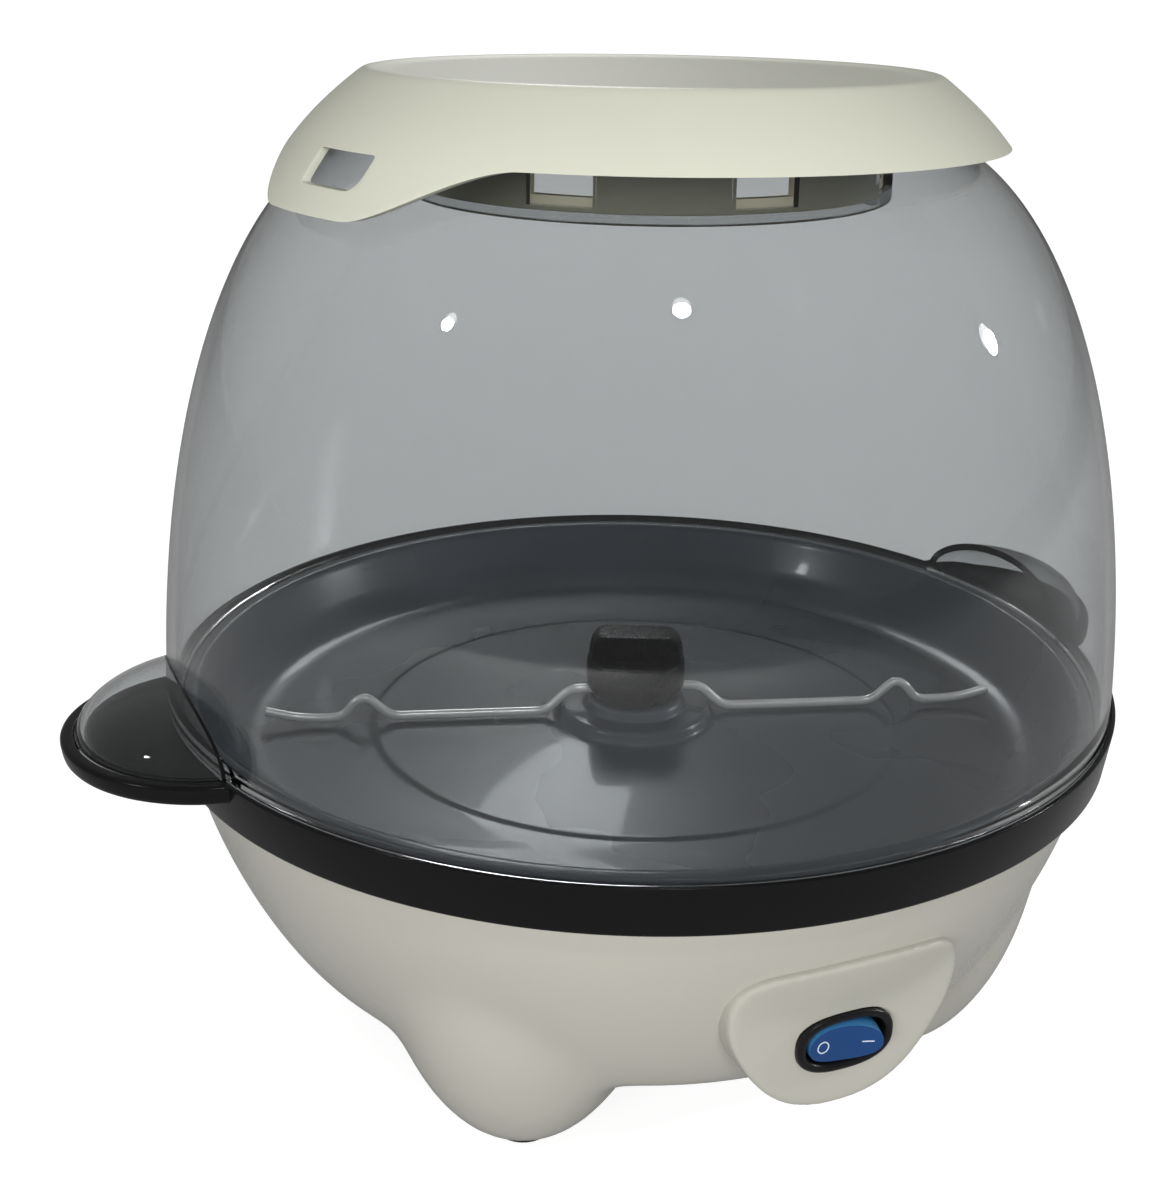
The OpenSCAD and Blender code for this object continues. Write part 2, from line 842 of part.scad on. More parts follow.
// Folded clips that hold the element up against the pan.
module element_clips() {
    wide = 8;
    under = 1;
    color("silver")
        around([20, 160, 270], element_r)
            translate([-element_d, -wide / 2, element_z - element_d / 2 - under])
                difference() {
                    cube([2 * element_d, wide, element_d + under]);
                    translate([element_d, -1, element_d / 2 + under])
                        rotate([-90, 0, 0])
                            cylinder(d = element_d + fit, h = wide + 2, $fn = smooth);
                    translate([element_d / 2 - fit / 2, -1, element_d / 2 + under])
                        cube([element_d + fit, wide + 2, element_d]);
                }
}

stat_at = [0, -38];

module thermostat() {
    color("saddlebrown")
        translate([stat_at[0], stat_at[1], pan_under - 10]) {
            cylinder(r = 6.5, h = 8, $fn = smooth);
            translate([0, 0, 7.9])
                cylinder(r = 8, h = 2.1, $fn = smooth);
            for (side = [-1, 1])
                translate([side * 4 - 2, -0.4, -6])
                    cube([4, 0.8, 6.5]);
        }
}

module thermal_fuse() {
    z = pan_under - 2.1;
    color("gold") {
        bar([-14, 36, z], [14, 36, z], 2);
        bar([-20, 36, z], [20, 36, z], 0.6);
    }
}

module heat_shield() {
    rim_h = 8;
    rim_out = rim_h / 2;
    hole_r = shaft_r + 2;
    lead_hole_r = 3;
    color("silver")
        difference() {
            rotate_extrude()
                polygon([
                    [hole_r, shield_z], [shield_r, shield_z],
                    [shield_r + rim_out, shield_z + rim_h],
                    [shield_r + rim_out - shield_t, shield_z + rim_h],
                    [shield_r - shield_t, shield_z + shield_t], [hole_r, shield_z + shield_t]]);
            around(post_angles, post_r)
                translate([0, 0, shield_z - 1])
                    cylinder(r = screw_r + 0.2, h = shield_t + 2, $fn = smooth);
            for (side = [-1, 1])
                translate([0, side * ear_pitch, shield_z - 1])
                    cylinder(r = small_screw_r, h = shield_t + 2, $fn = smooth);
            around(pin_angles, element_r)
                translate([0, 0, shield_z - 1])
                    cylinder(r = lead_hole_r, h = shield_t + 2, $fn = smooth);
        }
}

module shield_spacers() {
    low = shield_z + shield_t;
    color("silver")
        around(post_angles, post_r)
            translate([0, 0, low])
                difference() {
                    cylinder(r = spacer_r, h = pad_z - low, $fn = smooth);
                    translate([0, 0, -1])
                        cylinder(r = screw_r + 0.2, h = pad_z - low + 2, $fn = smooth);
                }
}

// Four long screws from under the base, through posts, shield and spacers,
// into the pads under the pan.
module clamp_screws() {
    head_z = floor_z + head_sunk;
    tip = pad_z + pad_h - 1.4;
    color("gray")
        around(post_angles, post_r) {
            translate([0, 0, head_z])
                cylinder(r = 2 * screw_r, h = head_h, $fn = smooth);
            translate([0, 0, head_z])
                cylinder(r = screw_r, h = tip - head_z, $fn = smooth);
        }
}

// Base ------------------------------------------------------------------

// A bulb of revolution with its lowest point at the table.
module bulb(r, h, lift) {
    steps = 28;
    translate([0, 0, lift])
        rotate_extrude()
            polygon([for (i = [0 : steps])
                let (a = -90 + 180 * i / steps)
                [max(0, r * cos(a)), bulb_h + h * sin(a)]]);
}

module body_solid(inset) {
    r_top = body_top_r - inset;
    rotate_extrude()
        polygon(concat(
            [[0, floor_z + inset]],
            [for (p = shifted(body_curve, -inset)) [p[0], max(p[1], floor_z + inset)]],
            [[r_top, body_top + (inset > 0 ? 1 : 0)], [0, body_top + (inset > 0 ? 1 : 0)]]));
    around(leg_angles, leg_r)
        bulb(bulb_r - inset, bulb_h - inset, 0);
}

module base_trim() {
    translate([-far, -far, -far])
        cube([2 * far, 2 * far, far + foot_t]);
    rotate_extrude()
        polygon([[body_top_r, ring_low], [far, ring_low], [far, far], [0, far],
                 [0, body_top], [body_top_r, body_top]]);
}

module base_body() {
    color([0.93, 0.91, 0.85])
        difference() {
            union() {
                difference() {
                    body_solid(0);
                    difference() {
                        body_solid(wall_t);
                        translate([-far, -far, -far])
                            cube([2 * far, 2 * far, far + foot_t + wall_t]);
                    }
                    base_trim();
                }
                around(post_angles, post_r)
                    translate([0, 0, floor_z])
                        cylinder(r = spacer_r, h = shield_z - floor_z, $fn = smooth);
                around(cover_angles, cover_screw_at)
                    translate([0, 0, floor_z])
                        cylinder(r = cover_screw_r + 1.8, h = boss_top_z - floor_z, $fn = smooth);
            }
            translate([0, 0, floor_z - 1])
                cylinder(r = hatch_r, h = wall_t + 1 + eps);
            around(post_angles, post_r)
                translate([0, 0, floor_z - 1]) {
                    cylinder(r = screw_r + 0.2, h = far, $fn = smooth);
                    cylinder(r = 2 * screw_r + 0.2, h = 1 + head_sunk + head_h, $fn = smooth);
                }
            around(cover_angles, cover_screw_at)
                translate([0, 0, floor_z - 1])
                    cylinder(r = cover_screw_r, h = boss_top_z - floor_z, $fn = smooth);
            inlet_hole();
            switch_hole();
        }
}

module inlet_hole() {
    translate([0, 60, inlet_z])
        rotate([-90, 0, 0])
            cylinder(r = inlet_r, h = far);
}

module switch_hole() {
    translate([0, -60, switch_z])
        rotate([90, 0, 0])
            linear_extrude(far)
                square([neck_w + 1, neck_h + 1], center = true);
}

module bottom_cover() {
    slots = 3;
    slot_l = 32;
    slot_t = 2.4;
    slot_pitch = 7;
    color([0.85, 0.84, 0.8])
        difference() {
            translate([0, 0, cover_z]) {
                cylinder(r = hatch_r + hatch_lap, h = cover_t);
                cylinder(r = hatch_r - fit, h = cover_t + wall_t);
            }
            translate([0, 0, floor_z])
                cylinder(r = hatch_r - 3, h = far);
            around(cover_angles, cover_screw_at)
                translate([0, 0, cover_z - 1])
                    cylinder(r = cover_screw_r, h = far, $fn = smooth);
            for (i = [-slots : slots])
                translate([-slot_l / 2, i * slot_pitch - slot_t / 2, cover_z - 1])
                    cube([slot_l, slot_t, far]);
        }
}

module cover_screws() {
    head = 1.6;
    tip = boss_top_z - 2;
    color("gray")
        around(cover_angles, cover_screw_at) {
            translate([0, 0, cover_z - head])
                cylinder(r1 = 2 * cover_screw_r, r2 = 2 * cover_screw_r + 0.4, h = head, $fn = smooth);
            translate([0, 0, cover_z - head])
                cylinder(r = cover_screw_r, h = tip - cover_z + head, $fn = smooth);
        }
}

module foot(i) {
    color([0.12, 0.12, 0.12])
        rotate(leg_angles[i - 1])
            translate([leg_r, 0, 0])
                cylinder(r = foot_r, h = foot_t);
}

// Switch ----------------------------------------------------------------

panel_depth = 30;
panel_reach = 10;

// The panel's outline, from its lower tip round to its lower tip.
function panel_side() =
    let (w = panel_w / 2, h = panel_h)
    concat(
        curve([[0, 0], [w * 0.42, 0], [w * 0.62, h * 0.12], [w * 0.82, h * 0.34]], 8),
        curve([[w * 0.9, h * 0.44], [w * 1.1, h * 0.72], [w * 0.98, h * 0.93], [w * 0.72, h * 0.965]], 8),
        curve([[w * 0.66, h * 0.972], [w * 0.44, h * 0.99], [w * 0.2, h], [0, h]], 5));

module panel_face(inset = 0) {
    k = 1 - 2 * inset / panel_w;
    side = panel_side();
    translate([0, panel_h / 2 * (1 - k)])
        scale(k)
            polygon(concat(side, [for (p = flip(side)) [-p[0], p[1]]]));
}

// The panel's outline drawn out past its face.
module panel_prism(inset) {
    translate([0, -panel_y - panel_reach, panel_z])
        rotate([90, 0, 0])
            translate([0, 0, -panel_depth - panel_reach])
                linear_extrude(panel_depth + panel_reach)
                    panel_face(inset);
}

// All that lies behind the flat face or inside the bowl grown by t.
module behind_panel(t) {
    translate([-far / 2, pad_t - panel_y - t, 0])
        cube([far, far, far]);
    rotate_extrude()
        polygon(concat([[0, floor_z]], shifted(body_curve, t), [[0, ring_low]]));
}

// A flat pad for the switch, whose upper part follows the bowl.
module switch_panel() {
    color("ivory")
        difference() {
            union() {
                intersection() {
                    panel_prism(0);
                    behind_panel(pad_t - edge);
                }
                intersection() {
                    panel_prism(edge);
                    behind_panel(pad_t);
                }
            }
            body_solid(0);
            translate([0, -panel_y + panel_depth, switch_z])
                rotate([90, 0, 0])
                    linear_extrude(far)
                        oval_face(neck_w + 0.4, neck_h + 0.4);
            translate([-housing_w / 2 - fit, neck_depth - fit - panel_y, switch_z - housing_h / 2 - fit])
                cube([housing_w + 2 * fit, far, housing_h + 2 * fit]);
            at_switch()
                oval(bezel_w + edge, bezel_h + edge, panel_reach);
        }
}

// Moves its children to the middle of the switch, with +Z out of the panel.
module at_switch() {
    translate([0, -panel_y, switch_z])
        rotate([90, 0, 0])
            children();
}

// Heights in the switch are measured out of the panel's face.
rocker_pivot = -2.5;
well_gap = 0.35;
swing_room = 1.4;
neck_w = bezel_w - 2.8;
neck_h = bezel_h - 2.8;
neck_depth = 7;
pivot_r = 1.2;
housing_w = 22;
housing_h = 13;
housing_d = 11;
housing_t = 1.2;
housing_back = -neck_depth - housing_d;
tab_at = 6;
tab_w = 4.8;
tab_t = 0.8;
tab_out = 7;

module switch_bezel() {
    lip = 0.6;
    color([0.05, 0.05, 0.05])
        at_switch()
            difference() {
                union() {
                    oval(bezel_w, bezel_h, bezel_t - lip);
                    oval(bezel_w - 1.4, bezel_h - 1.4, bezel_t);
                    translate([0, 0, -neck_depth])
                        oval(neck_w, neck_h, neck_depth + eps);
                }
                translate([0, 0, -far / 2])
                    oval(rocker_w + 2 * well_gap + swing_room, rocker_h + 2 * well_gap, far);
                pivot_pin(pivot_r + shaft_play, neck_h + 2);
            }
}

module pivot_pin(r, long) {
    translate([0, long / 2, rocker_pivot])
        rotate([90, 0, 0])
            cylinder(r = r, h = long, $fn = smooth);
}

// At rest the left end is pressed in, which is the off position.
module switch_rocker() {
    proud = bezel_t + 1.6;
    deep = 2.6;
    taper = [0.97, 0.84];
    hollow_r = 30;
    hollow_d = 1.6;
    color([0.1, 0.25, 0.5])
        at_switch()
            translate([0, 0, rocker_pivot])
                rotate([0, -rocker_tilt, 0])
                    translate([0, 0, -rocker_pivot]) {
                        difference() {
                            union() {
                                translate([0, 0, rocker_pivot - deep])
                                    oval(rocker_w, rocker_h, deep - rocker_pivot);
                                hull() {
                                    oval(rocker_w, rocker_h, eps);
                                    oval(rocker_w * taper[0], rocker_h * taper[1], proud);
                                }
                            }
                            translate([0, far / 2, proud + hollow_r - hollow_d])
                                rotate([90, 0, 0])
                                    cylinder(r = hollow_r, h = far);
                        }
                        pivot_pin(pivot_r, neck_h - edge);
                    }
}

module switch_housing() {
    floor_t = 3;
    color([0.1, 0.1, 0.1])
        at_switch()
            difference() {
                translate([-housing_w / 2, -housing_h / 2, housing_back])
                    cube([housing_w, housing_h, housing_d]);
                translate([housing_t - housing_w / 2, housing_t - housing_h / 2, housing_back + floor_t])
                    cube([housing_w - 2 * housing_t, housing_h - 2 * housing_t, housing_d]);
                tabs(housing_back - 1, floor_t + 2);
            }
}

// The three flat contact tabs, long in the direction out of the switch.
module tabs(z, long) {
    for (x = [-tab_at, 0, tab_at])
        translate([x - tab_t / 2, -tab_w / 2, z])
            cube([tab_t, tab_w, long]);
}

module switch_terminals() {
    color("gold")
        at_switch()
            tabs(housing_back - tab_out, tab_out + 3);
}

// Mains inlet -----------------------------------------------------------

// The gland that the mains lead comes out of, seated on the base's wall.
module cord_gland() {
    nut_t = 3;
    tail = 12;
    flange_y = inlet_y + tail;
    nose = 3;
    flange_r = inlet_r + 2.2;
    color([0.1, 0.1, 0.1])
        difference() {
            union() {
                along_inlet(inlet_y, inlet_r, tail);
                along_inlet(inlet_y, flange_r, nut_t);
                difference() {
                    union() {
                        along_inlet(inlet_y, flange_r, tail);
                        translate([0, flange_y - eps, inlet_z])
                            rotate([-90, 0, 0])
                                cylinder(r1 = flange_r, r2 = inlet_r, h = nose, $fn = 64);
                    }
                    body_solid(0);
                }
            }
            along_inlet(0, inlet_r - 2.4, far);
        }
}

// A round bar along the inlet's axis, from y outward.
module along_inlet(y, r, long) {
    translate([0, y, inlet_z])
        rotate([-90, 0, 0])
            cylinder(r = r, h = long, $fn = 64);
}

block_y = inlet_y - 29;
block_d = 14;
block_h = 12;
way = 10;

module terminal_block() {
    color("beige")
        difference() {
            translate([-1.5 * way, block_y - block_d / 2, floor_in])
                cube([3 * way, block_d, block_h]);
            for (i = [-1 : 1]) {
                translate([i * way, block_y, floor_in + block_h / 2])
                    rotate([90, 0, 0])
                        cylinder(r = 2, h = block_d + 2, center = true, $fn = smooth);
                translate([i * way, block_y, floor_in + block_h / 2])
                    cylinder(r = 2.4, h = block_h, $fn = smooth);
            }
        }
}

// Insulated leads inside the base.
module inner_leads() {
    lead = 1.1;
    sides = 8;
    z = floor_in + block_h / 2;
    tab_y = -panel_y - housing_back + tab_out + touch;
    pin_x = element_r * sin(pin_turn);
    pin_y = element_r * cos(pin_turn);
    pin_z = element_z - pin_drop - touch;
    color("red") {
        // inlet to the block
        wire([[0, inlet_y - 4, inlet_z - 3], [0, inlet_y - 9, inlet_z - 12], [0, block_y + 12, z + 1],
              [0, block_y + 4, z]], lead, sides);
        // block to the switch, one lead on each side of the motor
        for (side = [-1, 1])
            wire([[side * way, block_y - 5, z], [side * way, block_y - block_d, z],
                  [side * 34, 40, z], [side * 38, 0, z],
                  [side * 38, -30, z], [side * 22, tab_y + 25, z],
                  [side * tab_at, tab_y + 11, switch_z - 6],
                  [side * tab_at, tab_y + 5, switch_z], [side * tab_at, tab_y, switch_z]],
                 lead, sides);
        // block to the heating element's pins
        for (side = [-1, 1])
            wire([[side * way, block_y, z + 5], [side * (pin_x - 0.5), pin_y + 0.3, shield_z - 6],
                  [side * pin_x, pin_y, pin_z]], lead, sides);
    }
}

cap();
dome();
rim_ring();
pan();
pan_gasket();
stir_knob();
stirring_wire();
drive_shaft();
shaft_bush();
output_wheel();
middle_gear();
middle_pin();
motor_rotor();
motor_coil();
motor_can();
motor_plate();
motor_screws();
heating_element();
element_pins();
element_clips();
thermostat();
thermal_fuse();
heat_shield();
shield_spacers();
clamp_screws();
base_body();
bottom_cover();
cover_screws();
switch_panel();
switch_bezel();
switch_rocker();
switch_housing();
switch_terminals();
cord_gland();
terminal_block();
inner_leads();
foot(1);  // foot_1
foot(2);  // foot_2
foot(3);  // foot_3
foot(4);  // foot_4
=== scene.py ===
import math

import bpy
from bpy.props import FloatProperty, FloatVectorProperty, IntProperty, PointerProperty
from mathutils import Matrix, Vector


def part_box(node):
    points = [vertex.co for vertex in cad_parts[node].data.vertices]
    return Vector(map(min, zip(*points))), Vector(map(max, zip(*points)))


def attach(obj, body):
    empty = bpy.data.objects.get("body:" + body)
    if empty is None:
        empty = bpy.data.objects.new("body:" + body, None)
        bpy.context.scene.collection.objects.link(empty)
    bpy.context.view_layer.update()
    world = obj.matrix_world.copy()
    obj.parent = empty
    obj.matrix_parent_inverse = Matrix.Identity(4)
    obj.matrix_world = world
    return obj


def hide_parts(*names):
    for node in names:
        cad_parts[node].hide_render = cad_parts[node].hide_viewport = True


bl_info = {
    "name": "Stirring popcorn maker",
    "version": (1, 0, 0),
    "blender": (4, 5, 0),
    "location": "View3D > Sidebar > Popcorn",
    "description": "Models and finishes a stirring popcorn maker around its construction model",
    "category": "Object",
}

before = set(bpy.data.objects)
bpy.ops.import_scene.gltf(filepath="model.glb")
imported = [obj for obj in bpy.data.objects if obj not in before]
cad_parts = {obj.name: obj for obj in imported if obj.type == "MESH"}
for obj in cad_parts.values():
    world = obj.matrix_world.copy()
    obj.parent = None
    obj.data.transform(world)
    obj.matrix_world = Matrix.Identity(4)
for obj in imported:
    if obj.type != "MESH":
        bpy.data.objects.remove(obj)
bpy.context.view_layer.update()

MM = 0.001
TURN = 2 * math.pi

# Heights and places of the construction model, in millimetres
RING_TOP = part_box("rim_ring")[1][2] / MM
CAP_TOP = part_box("cap")[1][2] / MM
BASE_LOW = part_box("base_body")[0][2] / MM
BASE_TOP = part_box("base_body")[1][2] / MM
PANEL_FACE_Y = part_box("switch_bezel")[0][1] / MM + 2
PANEL_LOW, PANEL_HALF_W, PANEL_H = 34, 30.5, 42


# ---------------------------------------------------------------- sizes

def size_in_mm(name, description, default, low, high):
    """A size in millimetres."""
    return FloatProperty(name=name, description=description + ", in millimetres",
                         default=default, min=low, max=high)


def angle_property(name, description, degrees):
    return FloatProperty(name=name, description=description, subtype="ANGLE",
                         default=math.radians(degrees))


def colour_property(name, description, default):
    return FloatVectorProperty(name=name, description=description, subtype="COLOR",
                               default=default, min=0, max=1)


class RingSizes(bpy.types.PropertyGroup):
    """Black ring, its ears and the pan that sits in it."""
    ring_radius: size_in_mm("Ring radius", "Outer radius of the ring at its top",
                            130, 100, 160)
    ear_distance: size_in_mm("Ear distance", "Distance of an ear's centre from the axis",
                             118, 100, 130)
    ear_radius: size_in_mm("Ear radius", "Radius of the ring's ears", 39, 30, 45)
    ear_rim: size_in_mm("Ear rim", "Width of the black rim round an ear", 3.4, 2.5, 5)
    pan_depth: size_in_mm("Pan depth", "Depth of the pan's floor below the ring", 18, 10, 24)


class DomeSizes(bpy.types.PropertyGroup):
    """Clear dome."""
    height: size_in_mm("Dome height", "Height of the dome above the ring", 146, 120, 160)
    wall: size_in_mm("Dome wall", "Thickness of the clear wall", 2.2, 1.5, 3)
    collar_radius: size_in_mm("Collar radius", "Inner radius of the dome's collar", 59.2, 50, 64)
    vents: IntProperty(name="Steam slots", description="Number of steam slots in the collar",
                       default=8, min=4, max=12)


class CapSizes(bpy.types.PropertyGroup):
    """Cap with its handle flap."""
    top_radius: size_in_mm("Top radius", "Radius of the cap's flat top", 71.5, 60, 80)
    wall: size_in_mm("Cap wall", "Thickness of the cap", 2.2, 1.5, 3)
    flap_angle: angle_property("Flap direction", "Direction of the handle flap round the axis",
                               -168)


class BaseSizes(bpy.types.PropertyGroup):
    """Base shell, legs and feet."""
    wall: size_in_mm("Base wall", "Thickness of the base's wall", 2.5, 2, 3.5)
    leg_distance: size_in_mm("Leg distance", "Distance of a leg's centre from the axis",
                             77, 70, 82)
    leg_radius: size_in_mm("Leg radius", "Radius of a leg's bulb", 38.5, 30, 42)
    leg_height: size_in_mm("Leg half height", "Half the height of a leg's bulb",
                           72.5, 60, 80)
    leg_angle: angle_property("Leg angle", "Angle of each leg from the X axis", 44)


class Colours(bpy.types.PropertyGroup):
    """Main colours."""
    cap: colour_property("Cap", "Colour of the cap", (0.655, 0.66, 0.55))
    base: colour_property("Base", "Colour of the base shell", (0.475, 0.46, 0.405))
    panel: colour_property("Panel", "Colour of the switch panel", (0.46, 0.45, 0.395))
    ring: colour_property("Ring", "Colour of the ring and its ears", (0.004, 0.004, 0.0045))
    pan: colour_property("Pan", "Colour of the non-stick coating", (0.052, 0.062, 0.075))
    # The dome's tint is partly the plastic's own faint tint and mostly painted shade, standing in
    # for dark surroundings seen in the dome
    dome: colour_property("Dome", "Tint of the clear dome", (0.6, 0.615, 0.62))
    rocker: colour_property("Rocker", "Colour of the rocker", (0.009, 0.05, 0.17))


# ---------------------------------------------------------------- finishes

def new_material(name):
    material = bpy.data.materials.new(name)
    material.use_nodes = True
    nodes = material.node_tree.nodes
    nodes.clear()
    out = nodes.new("ShaderNodeOutputMaterial")
    shader = nodes.new("ShaderNodeBsdfPrincipled")
    material.node_tree.links.new(shader.outputs["BSDF"], out.inputs["Surface"])
    return material, shader, out


def set_inputs(node, values):
    for name, value in values.items():
        node.inputs[name].default_value = value


def noise(material, scale, detail=3.0, stretch=(1, 1, 1)):
    """A noise pattern fixed to the piece; scale is in features per metre."""
    nodes, links = material.node_tree.nodes, material.node_tree.links
    place = nodes.new("ShaderNodeTexCoord")
    spread = nodes.new("ShaderNodeMapping")
    set_inputs(spread, {"Scale": stretch})
    pattern = nodes.new("ShaderNodeTexNoise")
    set_inputs(pattern, {"Scale": scale, "Detail": detail})
    links.new(place.outputs["Object"], spread.inputs["Vector"])
    links.new(spread.outputs["Vector"], pattern.inputs["Vector"])
    return pattern.outputs["Fac"]


def ranged(material, value, low, high, start=0.3, stop=0.7):
    """A value between start and stop, spread over low to high."""
    nodes, links = material.node_tree.nodes, material.node_tree.links
    span = nodes.new("ShaderNodeMapRange")
    set_inputs(span, {"From Min": start, "From Max": stop, "To Min": low, "To Max": high})
    links.new(value, span.inputs["Value"])
    return span.outputs["Result"]


def blended(material, factor, first, second):
    """A mix of two colours."""
    nodes, links = material.node_tree.nodes, material.node_tree.links
    mix = nodes.new("ShaderNodeMix")
    mix.data_type = "RGBA"
    for socket, value in ((mix.inputs[6], first), (mix.inputs[7], second)):
        socket.default_value = (*value, 1)
    links.new(factor, mix.inputs["Factor"])
    return mix.outputs[2]


def finish(name, colour, roughness, metallic=0.0, vary=0.05, patch=14, grain=1400, relief=0.05,
           stretch=(1, 1, 1), coat=0.0, specular=0.5, tint=None, subsurface=0.0):
    """A solid finish: faint colour patches, an uneven sheen and a fine relief."""
    material, shader, _ = new_material(name)
    links = material.node_tree.links
    dark = tuple(c * (1 - vary) for c in (tint or colour))
    light = tuple(min(1, c * (1 + vary)) for c in colour)
    patches = ranged(material, noise(material, patch, 4), 0, 1)
    links.new(blended(material, patches, dark, light), shader.inputs["Base Color"])
    fine = noise(material, grain, 3, stretch)
    sheen = ranged(material, fine, roughness * 0.85, min(1, roughness * 1.18))
    links.new(sheen, shader.inputs["Roughness"])
    bump = material.node_tree.nodes.new("ShaderNodeBump")
    set_inputs(bump, {"Strength": relief, "Distance": 0.0002})
    links.new(fine, bump.inputs["Height"])
    links.new(bump.outputs["Normal"], shader.inputs["Normal"])
    set_inputs(shader, {"Metallic": metallic, "Coat Weight": coat, "Coat Roughness": 0.05,
                        "Specular IOR Level": specular})
    if subsurface:
        set_inputs(shader, {"Subsurface Weight": subsurface, "Subsurface Scale": 1.0,
                            "Subsurface Radius": (0.004, 0.004, 0.003)})
    return material


def clear_plastic(name, tint):
    """Clear plastic that lets lamps through. Its grey tint is partly the plastic's own faint tint
    and mostly painted shade, standing in for dark surroundings seen in the dome.
    """
    material, shader, out = new_material(name)
    nodes, links = material.node_tree.nodes, material.node_tree.links
    set_inputs(shader, {"Base Color": (*tint, 1), "Transmission Weight": 1.0, "IOR": 1.45,
                        "Specular IOR Level": 0.3})
    haze = noise(material, 30, 3)
    links.new(ranged(material, haze, 0.0, 0.012), shader.inputs["Roughness"])
    path = nodes.new("ShaderNodeLightPath")
    # A shadow ray crosses both faces of a wall, so each face lets the tint's square root through
    clear = nodes.new("ShaderNodeBsdfTransparent")
    set_inputs(clear, {"Color": (*(math.sqrt(c) for c in tint), 1)})
    mix = nodes.new("ShaderNodeMixShader")
    links.new(path.outputs["Is Shadow Ray"], mix.inputs[0])
    links.new(shader.outputs["BSDF"], mix.inputs[1])
    links.new(clear.outputs["BSDF"], mix.inputs[2])
    links.new(mix.outputs["Shader"], out.inputs["Surface"])
    return material


def non_stick(name, colour):
    """Smooth dark coating whose tone and sheen vary a little over the pan."""
    material, shader, _ = new_material(name)
    links = material.node_tree.links
    base = blended(material, ranged(material, noise(material, 9, 2), 0, 1),
                   tuple(c * 0.96 for c in colour), tuple(c * 1.04 for c in colour))
    links.new(base, shader.inputs["Base Color"])
    links.new(ranged(material, noise(material, 14, 2), 0.26, 0.3), shader.inputs["Roughness"])
    set_inputs(shader, {"Coat Weight": 0.4, "Coat Roughness": 0.035})
    return material


FINISHES = {}


def finishes():
    """All finishes of the maker, made once."""
    if FINISHES:
        return FINISHES

    def add(name, *look, **more):
        FINISHES[name] = finish(name, *look, **more)

    colours = bpy.context.scene.popcorn_colours
    FINISHES["clear_dome_painted_shade"] = clear_plastic("clear_dome_painted_shade", tuple(colours.dome))
    FINISHES["pan_coating"] = non_stick("pan_coating", tuple(colours.pan))
    add("cap_satin", tuple(colours.cap), 0.4, vary=0.015, grain=2600, relief=0.04)
    # The plug's finish is a lighter copy of the cap's ivory: painted light on the plug, which sits
    # in the shade of the cap's skirt
    add("plug_painted_light", (0.88, 0.82, 0.62), 0.45, vary=0.015, grain=2600, relief=0.02)
    add("panel_satin", tuple(colours.panel), 0.36, vary=0.012, grain=2600, relief=0.03)
    add("base_gloss", tuple(colours.base), 0.2, vary=0.012, grain=220, relief=0.002, coat=0.5)
    add("ring_gloss", tuple(colours.ring), 0.2, vary=0.1, grain=900, relief=0.006, specular=0.22)
    add("knob_satin", (0.004, 0.004, 0.004), 0.26, vary=0.1, grain=2200, relief=0.02,
        specular=0.22)
    add("bezel_satin", (0.006, 0.006, 0.0065), 0.32, vary=0.1, grain=2600, relief=0.04,
        specular=0.3)
    add("polished_wire", (0.92, 0.92, 0.9), 0.18, metallic=0.62, vary=0.04, grain=900,
        relief=0.04, stretch=(0.2, 0.2, 4))
    add("rocker_top", tuple(colours.rocker), 0.2, vary=0.06, grain=1800, relief=0.01, coat=0.15,
        specular=0.3)
    # The sides take a lighter copy of the rocker's blue: painted light standing in for light
    # passing through the translucent plastic
    add("rocker_side_painted_light", (0.045, 0.19, 0.4), 0.22, vary=0.05, grain=1800, relief=0.01, coat=0.2)
    add("mark_white", (0.62, 0.68, 0.8), 0.4, vary=0.03, grain=3000, relief=0.03)
    add("foot_rubber", (0.02, 0.02, 0.02), 0.75, vary=0.12, grain=1600, relief=0.25,
        specular=0.25)
    add("silicone_red", (0.33, 0.05, 0.03), 0.55, vary=0.06, relief=0.1)
    add("lead_red", (0.42, 0.03, 0.025), 0.48, vary=0.08, grain=1800, relief=0.12)
    add("zinc_steel", (0.56, 0.56, 0.57), 0.34, metallic=1, vary=0.06, grain=900, relief=0.08)
    add("screw_steel", (0.5, 0.5, 0.52), 0.28, metallic=1, vary=0.08, grain=2400, relief=0.1)
    add("turned_steel", (0.6, 0.6, 0.61), 0.2, metallic=1, vary=0.04, grain=1200, relief=0.08,
        stretch=(0.15, 0.15, 5))
    add("heated_steel", (0.2, 0.18, 0.17), 0.5, metallic=0.8, vary=0.3, patch=40, grain=1500,
        relief=0.15, tint=(0.16, 0.12, 0.13))
    add("mill_aluminium", (0.72, 0.73, 0.74), 0.36, metallic=1, vary=0.04, grain=500, relief=0.1,
        stretch=(8, 0.6, 1))
    add("bush_brass", (0.62, 0.42, 0.17), 0.26, metallic=1, vary=0.08, grain=1500, relief=0.08)
    add("gear_nylon", (0.78, 0.78, 0.74), 0.45, vary=0.03, grain=1800, relief=0.06, subsurface=0.1)
    add("rotor_iron", (0.12, 0.12, 0.125), 0.5, metallic=0.9, vary=0.15, grain=800, relief=0.2,
        stretch=(0.3, 0.3, 8))
    add("coil_copper", (0.5, 0.17, 0.06), 0.3, metallic=0.7, vary=0.12, grain=900, relief=0.4,
        stretch=(0.2, 0.2, 9))
    add("phenolic_brown", (0.06, 0.028, 0.014), 0.42, vary=0.15, grain=1400, relief=0.1)
    add("block_cream", (0.72, 0.68, 0.55), 0.4, vary=0.03, grain=1600, relief=0.06)
    return FINISHES


# ---------------------------------------------------------------- making shapes

# Vertices nearer than this, in metres, become one
WELD, CLOSE_WELD = 2e-6, 1e-6


